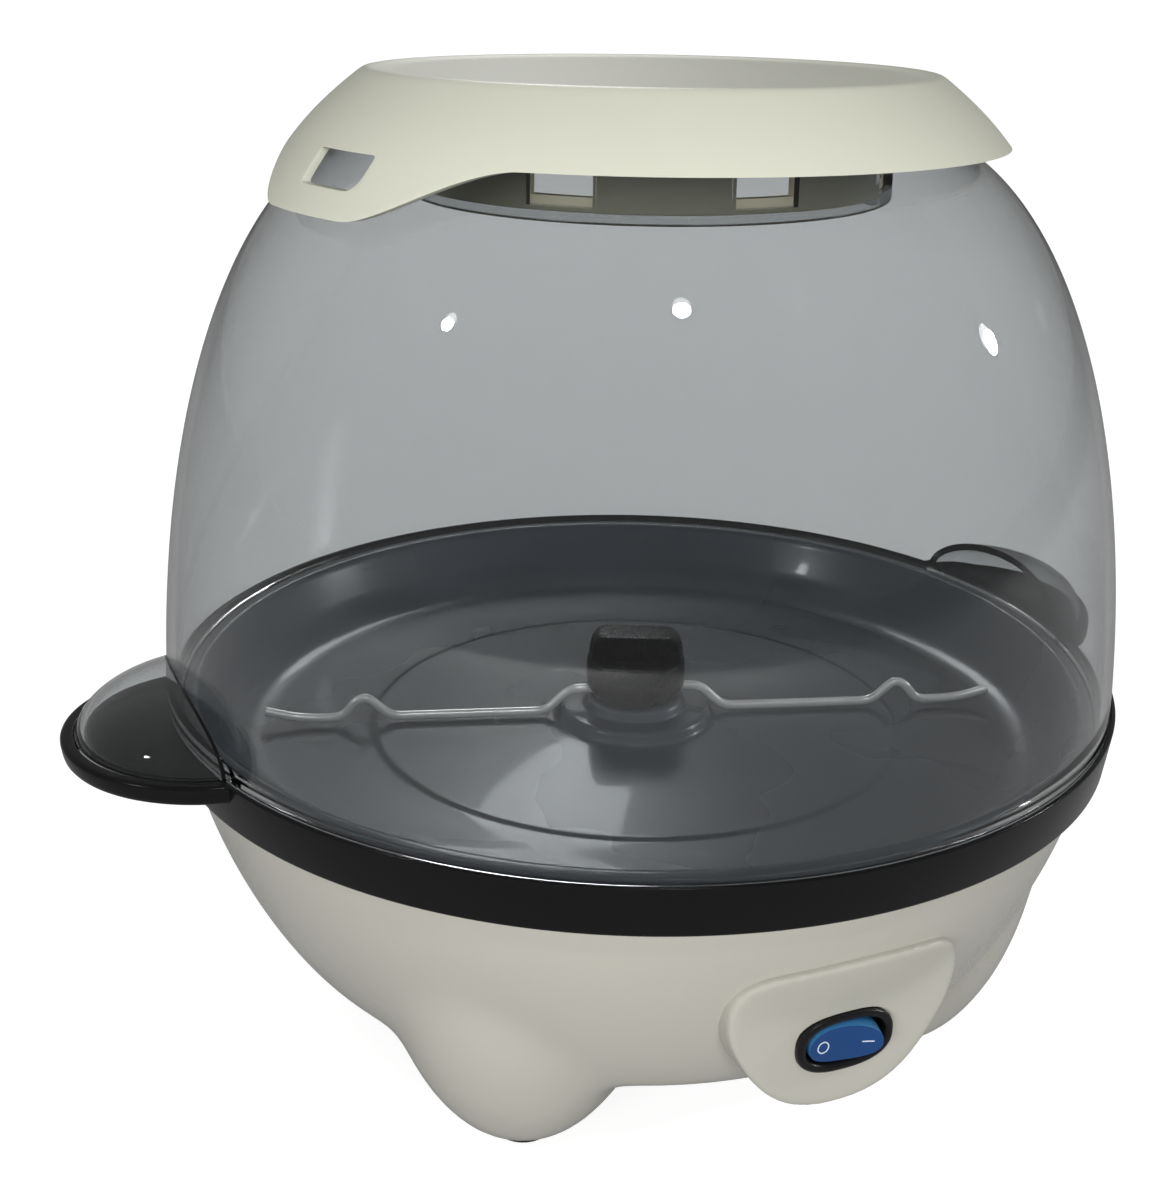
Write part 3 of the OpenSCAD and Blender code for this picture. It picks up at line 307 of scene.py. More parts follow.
def deselect_all():
    if bpy.context.object and bpy.context.object.mode != "OBJECT":
        bpy.ops.object.mode_set(mode="OBJECT")
    bpy.ops.object.select_all(action="DESELECT")


def pick(piece):
    deselect_all()
    piece.select_set(True)
    bpy.context.view_layer.objects.active = piece


def added(operator, **settings):
    """The object that an operator adds."""
    deselect_all()
    operator(**settings)
    return bpy.context.object


def named(piece, name):
    piece.name = piece.data.name = name
    return piece


def settle(piece):
    """Moves a piece's place into its mesh."""
    pick(piece)
    bpy.ops.object.transform_apply(location=True, rotation=True, scale=True)
    return piece


def moved(piece, matrix):
    piece.matrix_world = matrix
    return settle(piece)


def curve(p0, p1, p2, p3, steps):
    """Points of a cubic curve from p0 to p3, drawn towards p1 and p2."""
    points = []
    for i in range(steps + 1):
        t = i / steps
        points.append(tuple(
            (1 - t) ** 3 * a + 3 * (1 - t) ** 2 * t * b + 3 * (1 - t) * t * t * c + t ** 3 * d
            for a, b, c, d in zip(p0, p1, p2, p3)))
    return points


def softened(points, closed=False, steps=4):
    """Each point may end with a rounding distance, over which its corner is curved."""
    flat = [(Vector(p[:-1]), p[-1]) for p in points]
    count = len(flat)
    out = []
    for i, (here, reach) in enumerate(flat):
        if reach <= 0 or (not closed and i in (0, count - 1)):
            out.append(here)
            continue
        before, after = flat[i - 1][0], flat[(i + 1) % count][0]
        back, on = before - here, after - here
        a = here + back.normalized() * min(reach, back.length * 0.49)
        b = here + on.normalized() * min(reach, on.length * 0.49)
        for k in range(steps + 1):
            t = k / steps
            out.append(a * (1 - t) ** 2 + here * 2 * (1 - t) * t + b * t * t)
    return out


def trace(name, points, closed=False, face=False):
    """Draws a chain of edges through points in millimetres, by extruding one vertex.
    The piece is left in edit mode."""
    points = [Vector(p) * MM for p in points]
    piece = named(added(bpy.ops.mesh.primitive_plane_add, size=0.001, location=(0, 0, 0)), name)
    bpy.ops.object.mode_set(mode="EDIT")
    bpy.ops.mesh.select_mode(type="VERT")
    bpy.ops.mesh.merge(type="CENTER")
    bpy.ops.transform.translate(value=points[0])
    for a, b in zip(points, points[1:]):
        bpy.ops.mesh.extrude_vertices_move(TRANSFORM_OT_translate={"value": b - a})
    if closed:
        back = points[0] - points[-1]
        bpy.ops.mesh.extrude_vertices_move(TRANSFORM_OT_translate={"value": back})
    bpy.ops.mesh.select_all(action="SELECT")
    if closed:
        bpy.ops.mesh.remove_doubles(threshold=CLOSE_WELD)
    if face:
        bpy.ops.mesh.edge_face_add()
    return piece


def sealed(piece, at=(0, 0), weld=True):
    """Ends the making of a piece in edit mode: welds it and turns its faces outwards."""
    bpy.ops.mesh.select_all(action="SELECT")
    if weld:
        bpy.ops.mesh.remove_doubles(threshold=WELD)
    bpy.ops.mesh.normals_make_consistent(inside=False)
    bpy.ops.transform.translate(value=(at[0] * MM, at[1] * MM, 0))
    bpy.ops.object.mode_set(mode="OBJECT")
    return piece


def lathe(name, profile, steps=160, closed=True, at=(0, 0)):
    """A turned piece. profile holds (radius, height, rounding) in millimetres."""
    outline = [(p[0], 0, p[1]) for p in softened(profile, closed)]
    piece = trace(name, outline, closed)
    bpy.ops.mesh.spin(steps=steps, angle=TURN, center=(0, 0, 0), axis=(0, 0, 1))
    return sealed(piece, at)


def prism(name, outline, along):
    """An outline in millimetres, drawn out along a vector in millimetres."""
    piece = trace(name, outline, closed=True, face=True)
    bpy.ops.mesh.extrude_region_move(TRANSFORM_OT_translate={"value": Vector(along) * MM})
    return sealed(piece, weld=False)


def box_tool(low, high):
    low, high = Vector(low) * MM, Vector(high) * MM
    return settle(added(bpy.ops.mesh.primitive_cube_add, size=1, location=(low + high) / 2,
                        scale=high - low))


def rod_tool(radius, low, high, at=(0, 0), around="Z", sides=96):
    """A round bar along Z, or along Y when around is "Y"; at is its place in the other two axes."""
    middle = (low + high) / 2
    place = (at[0], at[1], middle) if around == "Z" else (at[0], middle, at[1])
    return settle(added(
        bpy.ops.mesh.primitive_cylinder_add, vertices=sides, radius=radius * MM,
        depth=(high - low) * MM, location=Vector(place) * MM,
        rotation=(0, 0, 0) if around == "Z" else (math.pi / 2, 0, 0)))


def apply_modifier(piece, kind, **settings):
    pick(piece)
    bpy.ops.object.modifier_add(type=kind)
    modifier = piece.modifiers[-1]
    for key, value in settings.items():
        setattr(modifier, key, value)
    bpy.ops.object.modifier_apply(modifier=modifier.name)
    return piece


def combine(piece, tool, operation="DIFFERENCE"):
    """Cuts, joins or intersects with a tool, which is used up."""
    apply_modifier(piece, "BOOLEAN", operation=operation, object=tool, solver="MANIFOLD")
    bpy.data.objects.remove(tool)
    return piece


def remeshed(piece, voxel, smoothing, fix_poles=False):
    """Rebuilds a piece from voxels of a size in millimetres and smooths it."""
    pick(piece)
    piece.data.remesh_voxel_size = voxel * MM
    if fix_poles:
        piece.data.use_remesh_fix_poles = True
    bpy.ops.object.voxel_remesh()
    return apply_modifier(piece, "SMOOTH", factor=0.5, iterations=smoothing)


def all_round(tool, count):
    """Copies of a tool, built anew at equal turns round the axis, as one object."""
    return joined([moved(tool(), Matrix.Rotation(TURN * i / count, 4, "Z")) for i in range(count)])


def joined(pieces):
    pick(pieces[0])
    for piece in pieces[1:]:
        piece.select_set(True)
    bpy.ops.object.join()
    return bpy.context.object


def copied(piece):
    pick(piece)
    bpy.ops.object.duplicate()
    return bpy.context.object


def round_edges(piece, width, angle=35, segments=3):
    return apply_modifier(piece, "BEVEL", width=width * MM, segments=segments,
                          limit_method="ANGLE", angle_limit=math.radians(angle),
                          use_clamp_overlap=True)


def complete(piece, body, *nodes, finish_name, slot, smooth=35):
    """Shades, finishes and seats a piece that stands for construction nodes."""
    pick(piece)
    bpy.ops.object.shade_smooth_by_angle(angle=math.radians(smooth))
    piece.data.materials.clear()
    piece.data.materials.append(finishes()[finish_name])
    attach(piece, body)
    if nodes:
        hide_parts(*nodes)


def oval(half_w, half_h, steps=72, power=0.8):
    """A full oval in the X-Z plane, in millimetres."""
    points = []
    for i in range(steps):
        a = TURN * i / steps
        c, s = math.cos(a), math.sin(a)
        points.append((half_w * math.copysign(abs(c) ** power, c), 0,
                       half_h * math.copysign(abs(s) ** power, s)))
    return points


def oval_stack(name, centre, sections, capped=False):
    """Ovals of (half width, half height, how far out) in front of centre, joined in turn."""
    half_w, half_h, out = sections[0]
    start = [(x + centre[0], centre[1] - out, z + centre[2]) for x, _, z in oval(half_w, half_h)]
    piece = trace(name, start, closed=True, face=capped)
    for a, b in zip(sections, sections[1:]):
        extrude = bpy.ops.mesh.extrude_region_move if capped else bpy.ops.mesh.extrude_edges_move
        extrude(TRANSFORM_OT_translate={"value": (0, (a[2] - b[2]) * MM, 0)})
        bpy.ops.transform.resize(value=(b[0] / a[0], 1, b[1] / a[1]),
                                 center_override=Vector(centre) * MM)
    return sealed(piece)


def shifted(x, y, z):
    """A move by millimetres."""
    return Matrix.Translation(Vector((x, y, z)) * MM)


def polar(radius, angle):
    return radius * math.cos(angle), radius * math.sin(angle)


def quarters(radius, start=0):
    """Four places round the axis, the first of them start quarter turns on."""
    return [polar(radius, TURN * (i + start) / 4) for i in range(4)]


# ---------------------------------------------------------------- base

# Places that the base shares with the pan, panel and switch, in millimetres
FLOOR_Z = 28
POST_R, POST_TOP, POST_AT = 4.5, 62, 60
HATCH_R, COVER_SCREW_AT = 36, 39
INLET_R, INLET_Z = 6, 62
SWITCH_Z = 52.2
HOUSING_HALF_H = 6.8
BAND_INSET = 5.6
RING_LOW = RING_TOP - 13
# Grid that the blended shapes are rebuilt on, in millimetres
VOXEL = 1.8


def bowl_side():
    """The bowl's outside in radius and height, from its floor up to the ring."""
    top_r = bpy.context.scene.popcorn_ring.ring_radius - BAND_INSET
    return curve((91.8, FLOOR_Z), (99.3, FLOOR_Z), (119.6, RING_TOP - 44), (top_r, RING_LOW), 40)


def base_core():
    """The base as one solid: a bowl and four bulbs, blended where they meet."""
    sizes = bpy.context.scene.popcorn_base
    top_r = bpy.context.scene.popcorn_ring.ring_radius - BAND_INSET
    profile = ([(0, FLOOR_Z, 0)] + [(r, z, 0) for r, z in bowl_side()]
               + [(top_r, RING_TOP, 0), (0, RING_TOP, 0)])
    core = lathe("base_core", profile, closed=False, steps=192)
    bulbs = [settle(added(
        bpy.ops.mesh.primitive_uv_sphere_add, segments=96, ring_count=64, radius=1,
        location=Vector((*polar(sizes.leg_distance, angle), sizes.leg_height)) * MM,
        scale=Vector((sizes.leg_radius, sizes.leg_radius, sizes.leg_height)) * MM))
        for angle in leg_angles()]
    return remeshed(joined([core] + bulbs), VOXEL, 50, fix_poles=True)


def leg_angles():
    angle = bpy.context.scene.popcorn_base.leg_angle
    return [angle, math.pi - angle, math.pi + angle, -angle]


def bisected(piece, height, upper, fill):
    """Cuts a piece level at a height in millimetres and drops its upper or lower part."""
    pick(piece)
    bpy.ops.object.mode_set(mode="EDIT")
    bpy.ops.mesh.select_all(action="SELECT")
    bpy.ops.mesh.bisect(plane_co=(0, 0, height * MM), plane_no=(0, 0, 1), use_fill=fill,
                        clear_outer=upper, clear_inner=not upper)
    bpy.ops.object.mode_set(mode="OBJECT")
    return piece


class POPCORN_OT_base(bpy.types.Operator):
    """Models the base shell with its blended legs, posts and openings"""
    bl_idname = "popcorn.base"
    bl_label = "Base"

    def execute(self, context):
        core = base_core()
        shell = named(copied(core), "base_shell")
        bisected(shell, BASE_LOW, upper=False, fill=True)
        bisected(shell, BASE_TOP - 0.05, upper=True, fill=False)
        wall = context.scene.popcorn_base.wall - 0.1
        apply_modifier(shell, "SOLIDIFY", thickness=wall * MM, offset=-1)
        posts = [rod_tool(POST_R, FLOOR_Z + 0.5, POST_TOP, place, sides=48)
                 for place in quarters(POST_AT)]
        bosses = [rod_tool(3, FLOOR_Z + 0.5, 35.5, place, sides=32)
                  for place in quarters(COVER_SCREW_AT, 0.5)]
        combine(shell, joined(posts + bosses), "UNION")
        tools = [rod_tool(HATCH_R, FLOOR_Z - 3, FLOOR_Z + 6),
                 rod_tool(INLET_R, 90, 140, (0, INLET_Z), around="Y"),
                 box_tool((-12.1, -140, SWITCH_Z - HOUSING_HALF_H),
                          (12.1, -60, SWITCH_Z + HOUSING_HALF_H))]
        for place in quarters(POST_AT):
            tools.append(rod_tool(2.2, FLOOR_Z + 1.9, 80, place, sides=32))
            tools.append(rod_tool(4.2, FLOOR_Z - 3, FLOOR_Z + 2, place, sides=48))
        shell = combine(shell, joined(tools))
        complete(shell, "base", "base_body", finish_name="base_gloss", slot="ivory_gloss",
                 smooth=40)
        return {"FINISHED"}


class POPCORN_OT_feet(bpy.types.Operator):
    """Models the four rubber feet"""
    bl_idname = "popcorn.feet"
    bl_label = "Feet"

    def execute(self, context):
        distance = context.scene.popcorn_base.leg_distance
        for number, angle in enumerate(leg_angles(), 1):
            foot = lathe("rubber_foot_%d" % number, [
                (0, 0, 0), (2.6, 0, 0.2), (2.9, 0.45, 0.2), (3.5, 0.45, 0.2), (3.8, 0, 0.2),
                (5.4, 0, 0.2), (5.7, 0.45, 0.2), (6.2, 0.45, 0.2), (6.5, 0, 0.2),
                (7.5, 0, 0.4), (8, 0.6, 0.4), (8, 1.78, 0.1), (0, 1.78, 0)],
                steps=64, closed=False, at=polar(distance, angle))
            complete(foot, "base", "foot_%d" % number, finish_name="foot_rubber",
                     slot="rubber")
        return {"FINISHED"}


# ---------------------------------------------------------------- ring and pan

class POPCORN_OT_ring(bpy.types.Operator):
    """Models the black ring with its two ears"""
    bl_idname = "popcorn.ring"
    bl_label = "Ring"

    def execute(self, context):
        sizes = context.scene.popcorn_ring
        r, top, low = sizes.ring_radius, RING_TOP, RING_LOW
        band = lathe("rim_ring_piece", [
            (r - 8.3, top - 3, 0), (r - 8.3, top - 5.6, 0.3), (r - 4.9, top - 5.6, 0),
            (r - 4.9, low, 0.4), (r - 1.7, low, 0.9), (r, top, 0.7), (r - 1.2, top, 0.3),
            (r - 1.2, top - 1.5, 0), (r - 5.3, top - 1.5, 0), (r - 5.3, top - 3, 0)], steps=224)
        recess, ear_low = sizes.ear_radius - sizes.ear_rim, top - 5.2
        for side in (-1, 1):
            centre = (side * sizes.ear_distance, 0)
            ear = lathe("ear", [
                (0, top - 1.5, 0), (recess, top - 1.5, 0), (recess, top, 0.3),
                (sizes.ear_radius, top, 1.4), (sizes.ear_radius - 0.7, ear_low, 1.8),
                (0, ear_low, 0)], closed=False, at=centre)
            ear = combine(ear, rod_tool(r - 2.4, low, top + 9, sides=224))
            ear = combine(ear, rod_tool(r - 1.2, top - 1.5, top + 9, sides=224))
            band = combine(band, ear, "UNION")
            band = combine(band, rod_tool(recess, top - 1.5, top + 9, centre, sides=160))
        complete(band, "base", "rim_ring", finish_name="ring_gloss", slot="black_gloss")
        return {"FINISHED"}


class POPCORN_OT_pan(bpy.types.Operator):
    """Models the pressed non-stick pan"""
    bl_idname = "popcorn.pan"
    bl_label = "Pan"

    def execute(self, context):
        top = RING_TOP - 0.7
        floor = RING_TOP - context.scene.popcorn_ring.pan_depth
        under = floor - 3
        pan = lathe("pan_dish", [
            (4.65, under, 0), (110.6, under, 3), (113.4, floor + 2, 3), (120.6, top - 2.2, 1),
            (121.2, top - 1.2, 0.5), (124.4, top - 1.2, 0.2), (124.4, top, 0.3), (121.2, top, 0.9),
            (120.2, top - 1.2, 1.2), (111.6, floor - 0.5, 9),
            (74.8, floor - 0.5, 0.8), (73.2, floor, 0.8),
            (22.4, floor, 1.2), (20.9, floor + 3.5, 1.3), (14.6, floor + 3.5, 0.8),
            (13.4, floor + 6.5, 1.2), (4.65, floor + 6.5, 0)], steps=224)
        pads = [rod_tool(POST_R, under - 5, under + 0.5, place, sides=48)
                for place in quarters(POST_AT)]
        holes = [rod_tool(2, under - 6, under + 0.6, place, sides=32)
                 for place in quarters(POST_AT)]
        pan = combine(pan, joined(pads), "UNION")
        pan = combine(pan, joined(holes))
        complete(pan, "base", "pan", finish_name="pan_coating", slot="nonstick", smooth=45)
        return {"FINISHED"}


# ---------------------------------------------------------------- dome

EAR_RISE, VENT_HALF_W, SEAT_PLAY = 16, 8, 0.3


class POPCORN_OT_dome(bpy.types.Operator):
    """Models the clear dome with its hollow ears and steam slots"""
    bl_idname = "popcorn.dome"
    bl_label = "Dome"

    def execute(self, context):
        sizes, ring = context.scene.popcorn_dome, context.scene.popcorn_ring
        r, foot = ring.ring_radius, RING_TOP - 1.2
        top, wall, collar = RING_TOP + sizes.height, sizes.wall, sizes.collar_radius
        outer = curve((r - 1.6, RING_TOP + 2.4), (r - 4.6, RING_TOP + 0.545 * sizes.height),
                      (r - 27, RING_TOP + 0.955 * sizes.height), (collar + wall + 3, top), 56)
        inner = [(x - wall, min(z, top - wall)) for x, z in outer if x - wall > collar + wall + 1]
        profile = ([(r - 1.5, foot, 0.3), (r - 1.5, foot + 1.8, 0)]
                   + [(x, z, 0) for x, z in outer]
                   + [(collar, top, 0.7), (collar, top - 19, 0.6), (collar + wall, top - 19, 0.6),
                      (collar + wall, top - wall, 1)]
                   + [(x, z, 0) for x, z in reversed(inner)] + [(r - 4.9, foot, 0.3)])
        dome = lathe("dome_shell", profile, steps=224)
        ear_r = ring.ear_radius - ring.ear_rim - SEAT_PLAY
        for side in (-1, 1):
            centre = (side * ring.ear_distance, 0)
            blister = self.mound(ear_r, EAR_RISE, foot, centre)
            hollow = self.mound(ear_r - wall, EAR_RISE - wall, foot - 0.01, centre)
            blister = combine(blister, hollow)
            blister = combine(blister, rod_tool(r - 3.1, foot - 1, foot + 20, sides=224))
            dome = combine(dome, blister, "UNION")
        slots = all_round(lambda: box_tool((collar - 4.4, -VENT_HALF_W, top - 15.5),
                                           (collar + 4.4, VENT_HALF_W, top - 5.5)), sizes.vents)
        dome = combine(dome, slots)
        complete(dome, "dome", "dome", finish_name="clear_dome_painted_shade", slot="clear", smooth=40)
        return {"FINISHED"}

    @staticmethod
    def mound(radius, height, low, at):
        """A quarter of an ellipse, turned round."""
        arc = []
        for i in range(24):
            out, up = polar(1, TURN / 4 * i / 24)
            arc.append((radius * out, low + height * up, 0))
        return lathe("mound", [(0, low, 0)] + arc + [(0, low + height, 0)], closed=False, at=at)


# ---------------------------------------------------------------- cap

class POPCORN_OT_cap(bpy.types.Operator):
    """Models the cap with its handle flap, finger slot and plug"""
    bl_idname = "popcorn.cap"
    bl_label = "Cap"

    def execute(self, context):
        sizes, dome = context.scene.popcorn_cap, context.scene.popcorn_dome
        r, top_r, wall = context.scene.popcorn_ring.ring_radius, sizes.top_radius, sizes.wall
        top, dish = CAP_TOP, CAP_TOP - 0.7
        low_edge, seat = RING_TOP + 141.6, RING_TOP + dome.height + SEAT_PLAY
        outer = curve((r - 28.3, RING_TOP + 125.4), (r - 40.1, RING_TOP + 140.8),
                      (r - 42.4, RING_TOP + 145.8), (top_r + 1.6, top - 1.2), 28)
        inner = [(x - wall, z) for x, z in reversed(outer)]
        cap = lathe("cap_piece", [(x, z, 0) for x, z in outer] + [
            (top_r - 0.2, top, 2.2), (top_r - 3, top, 1.4), (top_r - 7, dish, 2.6), (0, dish, 0),
            (0, dish - wall, 0), (top_r - wall, dish - wall, 1.5)]
            + [(x, z, 0) for x, z in inner], steps=224)
        trim = box_tool((-150, -150, 200), (150, 150, low_edge))
        trim = combine(trim, self.flap(sizes.flap_angle, low_edge))
        cap = combine(cap, trim)
        cap = combine(cap, self.slot(sizes.flap_angle))
        cap = round_edges(cap, 0.55, angle=50)
        collar, plug_low = dome.collar_radius, RING_TOP + dome.height - 16.8
        plug_in, plug_out = collar - 2.5, collar - SEAT_PLAY
        plug = lathe("plug", [
            (plug_in, plug_low, 0.5), (plug_out, plug_low, 0.5), (plug_out, seat, 0),
            (collar + 3, seat, 0.3), (collar + 3, dish - 0.3, 0), (plug_in, dish - 0.3, 0)],
            steps=192)
        slots = all_round(lambda: box_tool((collar - 4.4, -VENT_HALF_W, seat - 13.8),
                                           (collar + 1, VENT_HALF_W, seat - 5.8)), dome.vents)
        plug = combine(plug, slots)
        cap = combine(cap, plug, "UNION")
        complete(cap, "cap", "cap", finish_name="cap_satin", slot="ivory", smooth=32)
        # Plug faces take the lighter copy of the ivory, painted light where the cap's skirt shades
        # them
        cap.data.materials.append(finishes()["plug_painted_light"])
        for face in cap.data.polygons:
            x, y, z = face.center / MM
            on_plug = math.hypot(x, y) < collar + 0.2 and z < seat - 0.2
            face.material_index = 1 if on_plug else 0
        return {"FINISHED"}

    @staticmethod
    def flap(angle, low_edge):
        """What the cap's skirt keeps below its general edge, towards the flap."""
        flat, ramp, drop, steps = 16, 35, 12.6, 40
        reach = flat + ramp
        edge = []
        for i in range(-steps, steps + 1):
            t = reach * i / steps
            s = min(1, max(0, (abs(t) - flat) / ramp))
            edge.append((0, t, low_edge - drop * (1 - s * s * (3 - 2 * s))))
        piece = prism("flap", edge + [(0, reach, CAP_TOP), (0, -reach, CAP_TOP)], (200, 0, 0))
        return moved(piece, Matrix.Rotation(angle, 4, "Z"))

    @staticmethod
    def slot(angle):
        """The finger slot, with one corner rounder than the others."""
        across, centre, half_w, half_h = 4, RING_TOP + 138.6, 11.5, 3.8
        corners = [(-half_w, -half_h, 1.4), (half_w, -half_h, 4.2), (half_w, half_h, 1.2),
                   (-half_w, half_h, 1.2)]
        corners = [(across + x, centre + z, reach) for x, z, reach in corners]
        outline = softened(corners, closed=True, steps=6)
        piece = prism("slot", [(39, p[0], p[1]) for p in outline], (160, 0, 0))
        return moved(piece, Matrix.Rotation(angle, 4, "Z"))


# ---------------------------------------------------------------- stirrer

WIRE_AZ = math.radians(72.5 - 90)
WIRE_R = 1.3
TOUCH = 0.1
SLEEVE_R = 4.98
KNOB_LOW = RING_TOP - 11
WIRE_Z = RING_TOP - 18 + 0.5 + WIRE_R
EYE_Z = KNOB_LOW + WIRE_R + TOUCH
EYE_R = SLEEVE_R + TOUCH + WIRE_R


class POPCORN_OT_stirrer(bpy.types.Operator):
    """Models the stirring wire and its knob"""
    bl_idname = "popcorn.stirrer"
    bl_label = "Stirrer"

    def execute(self, context):
        arm = [(103.7, WIRE_Z + 2.6, 0), (94, WIRE_Z, 7), (82.5, WIRE_Z, 3),
               (78.6, WIRE_Z + 5, 2.2), (75.4, WIRE_Z + 6, 2.2), (69, WIRE_Z, 3),
               (25.4, WIRE_Z, 2.8), (18.6, EYE_Z, 2.8), (EYE_R + 3, EYE_Z, 2)]
        arm = [(x, 0, z, reach) for x, z, reach in arm]
        eye = [(*polar(EYE_R, math.radians(20 * i)), EYE_Z, 1) for i in range(1, 9)]
        far_arm = [(-x, y, z, reach) for x, y, z, reach in reversed(arm)]
        wire = trace("stir_wire", softened(arm + eye + far_arm, steps=5))
        bpy.ops.object.mode_set(mode="OBJECT")
        bpy.ops.object.convert(target="CURVE")
        wire = bpy.context.object
        wire.data.bevel_depth = WIRE_R * MM
        wire.data.bevel_resolution = 6
        wire.data.use_fill_caps = True
        bpy.ops.object.convert(target="MESH")
        wire = bpy.context.object
        wire = moved(wire, Matrix.Rotation(WIRE_AZ, 4, "Z"))
        wire = round_edges(wire, 0.4, angle=60)
        complete(wire, "stirrer", "stirring_wire", finish_name="polished_wire",
                 slot="wire_chrome")
        self.knob()
        return {"FINISHED"}

    @staticmethod
    def knob():
        """A skirted knob with a grip bar on top and a groove for the wire below."""
        low, top, grip = KNOB_LOW, KNOB_LOW + 18, 7
        shoulder = top - grip
        knob = lathe("stir_knob_piece", [
            (0, shoulder - 2.9, 0), (3.08, shoulder - 2.9, 0), (3.08, low, 0),
            (SLEEVE_R, low, 0.3), (SLEEVE_R, low + 2.8, 0), (11.6, low + 2.8, 0),
            (11.6, low, 0.1), (12.1, low, 0.3),
            (14, low + 3.4, 1.4), (13.7, shoulder, 1.3), (0, shoulder, 0)],
            steps=128, closed=False)
        bar = box_tool((-20, -5, shoulder - 2), (20, 5, top))
        envelope = lathe("envelope", [
            (0, shoulder - 3, 0), (13.4, shoulder - 3, 0), (13.1, top - 3, 4), (11.4, top, 1.4),
            (0, top, 0)], steps=128, closed=False)
        bar = combine(bar, envelope, "INTERSECT")
        bar = round_edges(bar, 1.0, angle=50, segments=4)
        bar = moved(bar, Matrix.Rotation(WIRE_AZ - math.radians(8), 4, "Z"))
        knob = combine(knob, bar, "UNION")
        groove = box_tool((-30, -WIRE_R - TOUCH, low - 1), (30, WIRE_R + TOUCH, low + 2.8))
        groove = combine(groove, rod_tool(5, low - 2, low + 4))
        knob = combine(knob, moved(groove, Matrix.Rotation(WIRE_AZ, 4, "Z")))
        complete(knob, "stirrer", "stir_knob", finish_name="knob_satin", slot="black_satin")


# ---------------------------------------------------------------- switch

def panel_outline(w, h):
    """The panel's shield shape, of half width w and height h, from its lowest point up."""
    side = (curve((0, 0), (w * 0.42, 0), (w * 0.62, h * 0.12), (w * 0.82, h * 0.34), 14)
            + curve((w * 0.9, h * 0.44), (w * 1.1, h * 0.72), (w * 0.98, h * 0.93),
                    (w * 0.72, h * 0.965), 18)
            + curve((w * 0.66, h * 0.972), (w * 0.44, h * 0.99), (w * 0.2, h), (0, h), 8))
    return side + [(-x, z) for x, z in reversed(side[1:-1])]


class POPCORN_OT_panel(bpy.types.Operator):
    """Models the raised switch panel on the base"""
    bl_idname = "popcorn.panel"
    bl_label = "Switch panel"

    def execute(self, context):
        pad, soft, face = 2.1, 0.35, PANEL_FACE_Y
        outline = [(x, face - 10, PANEL_LOW + z)
                   for x, z in panel_outline(PANEL_HALF_W + soft, PANEL_H + 2 * soft)]
        panel = prism("switch_panel_piece", outline, (0, 40, 0))
        behind = lathe("grown_bowl", [(0, FLOOR_Z, 0)] + [(r + pad, z, 0) for r, z in bowl_side()]
                       + [(0, RING_LOW, 0)], closed=False, steps=192)
        behind = combine(behind, box_tool((-60, face, 0), (60, 0, 90)), "UNION")
        panel = combine(panel, remeshed(behind, VOXEL, 60), "INTERSECT")
        panel = remeshed(panel, VOXEL / 3, 46)
        panel = combine(panel, bpy.data.objects["base_core"])
        centre = (0, face, SWITCH_Z)
        hole = oval_stack("hole", centre, [(11.8, 6.5, 20), (11.8, 6.5, -40)], capped=True)
        seat = oval_stack("seat", centre, [(13.3, 8, 0), (13.3, 8, 12)], capped=True)
        pocket = box_tool((-11.3, face + 6.7, SWITCH_Z - HOUSING_HALF_H),
                          (11.3, face + 40, SWITCH_Z + HOUSING_HALF_H))
        for tool in (hole, seat, pocket):
            panel = combine(panel, tool)
        complete(panel, "base", "switch_panel", finish_name="panel_satin", slot="ivory",
                 smooth=30)
        return {"FINISHED"}


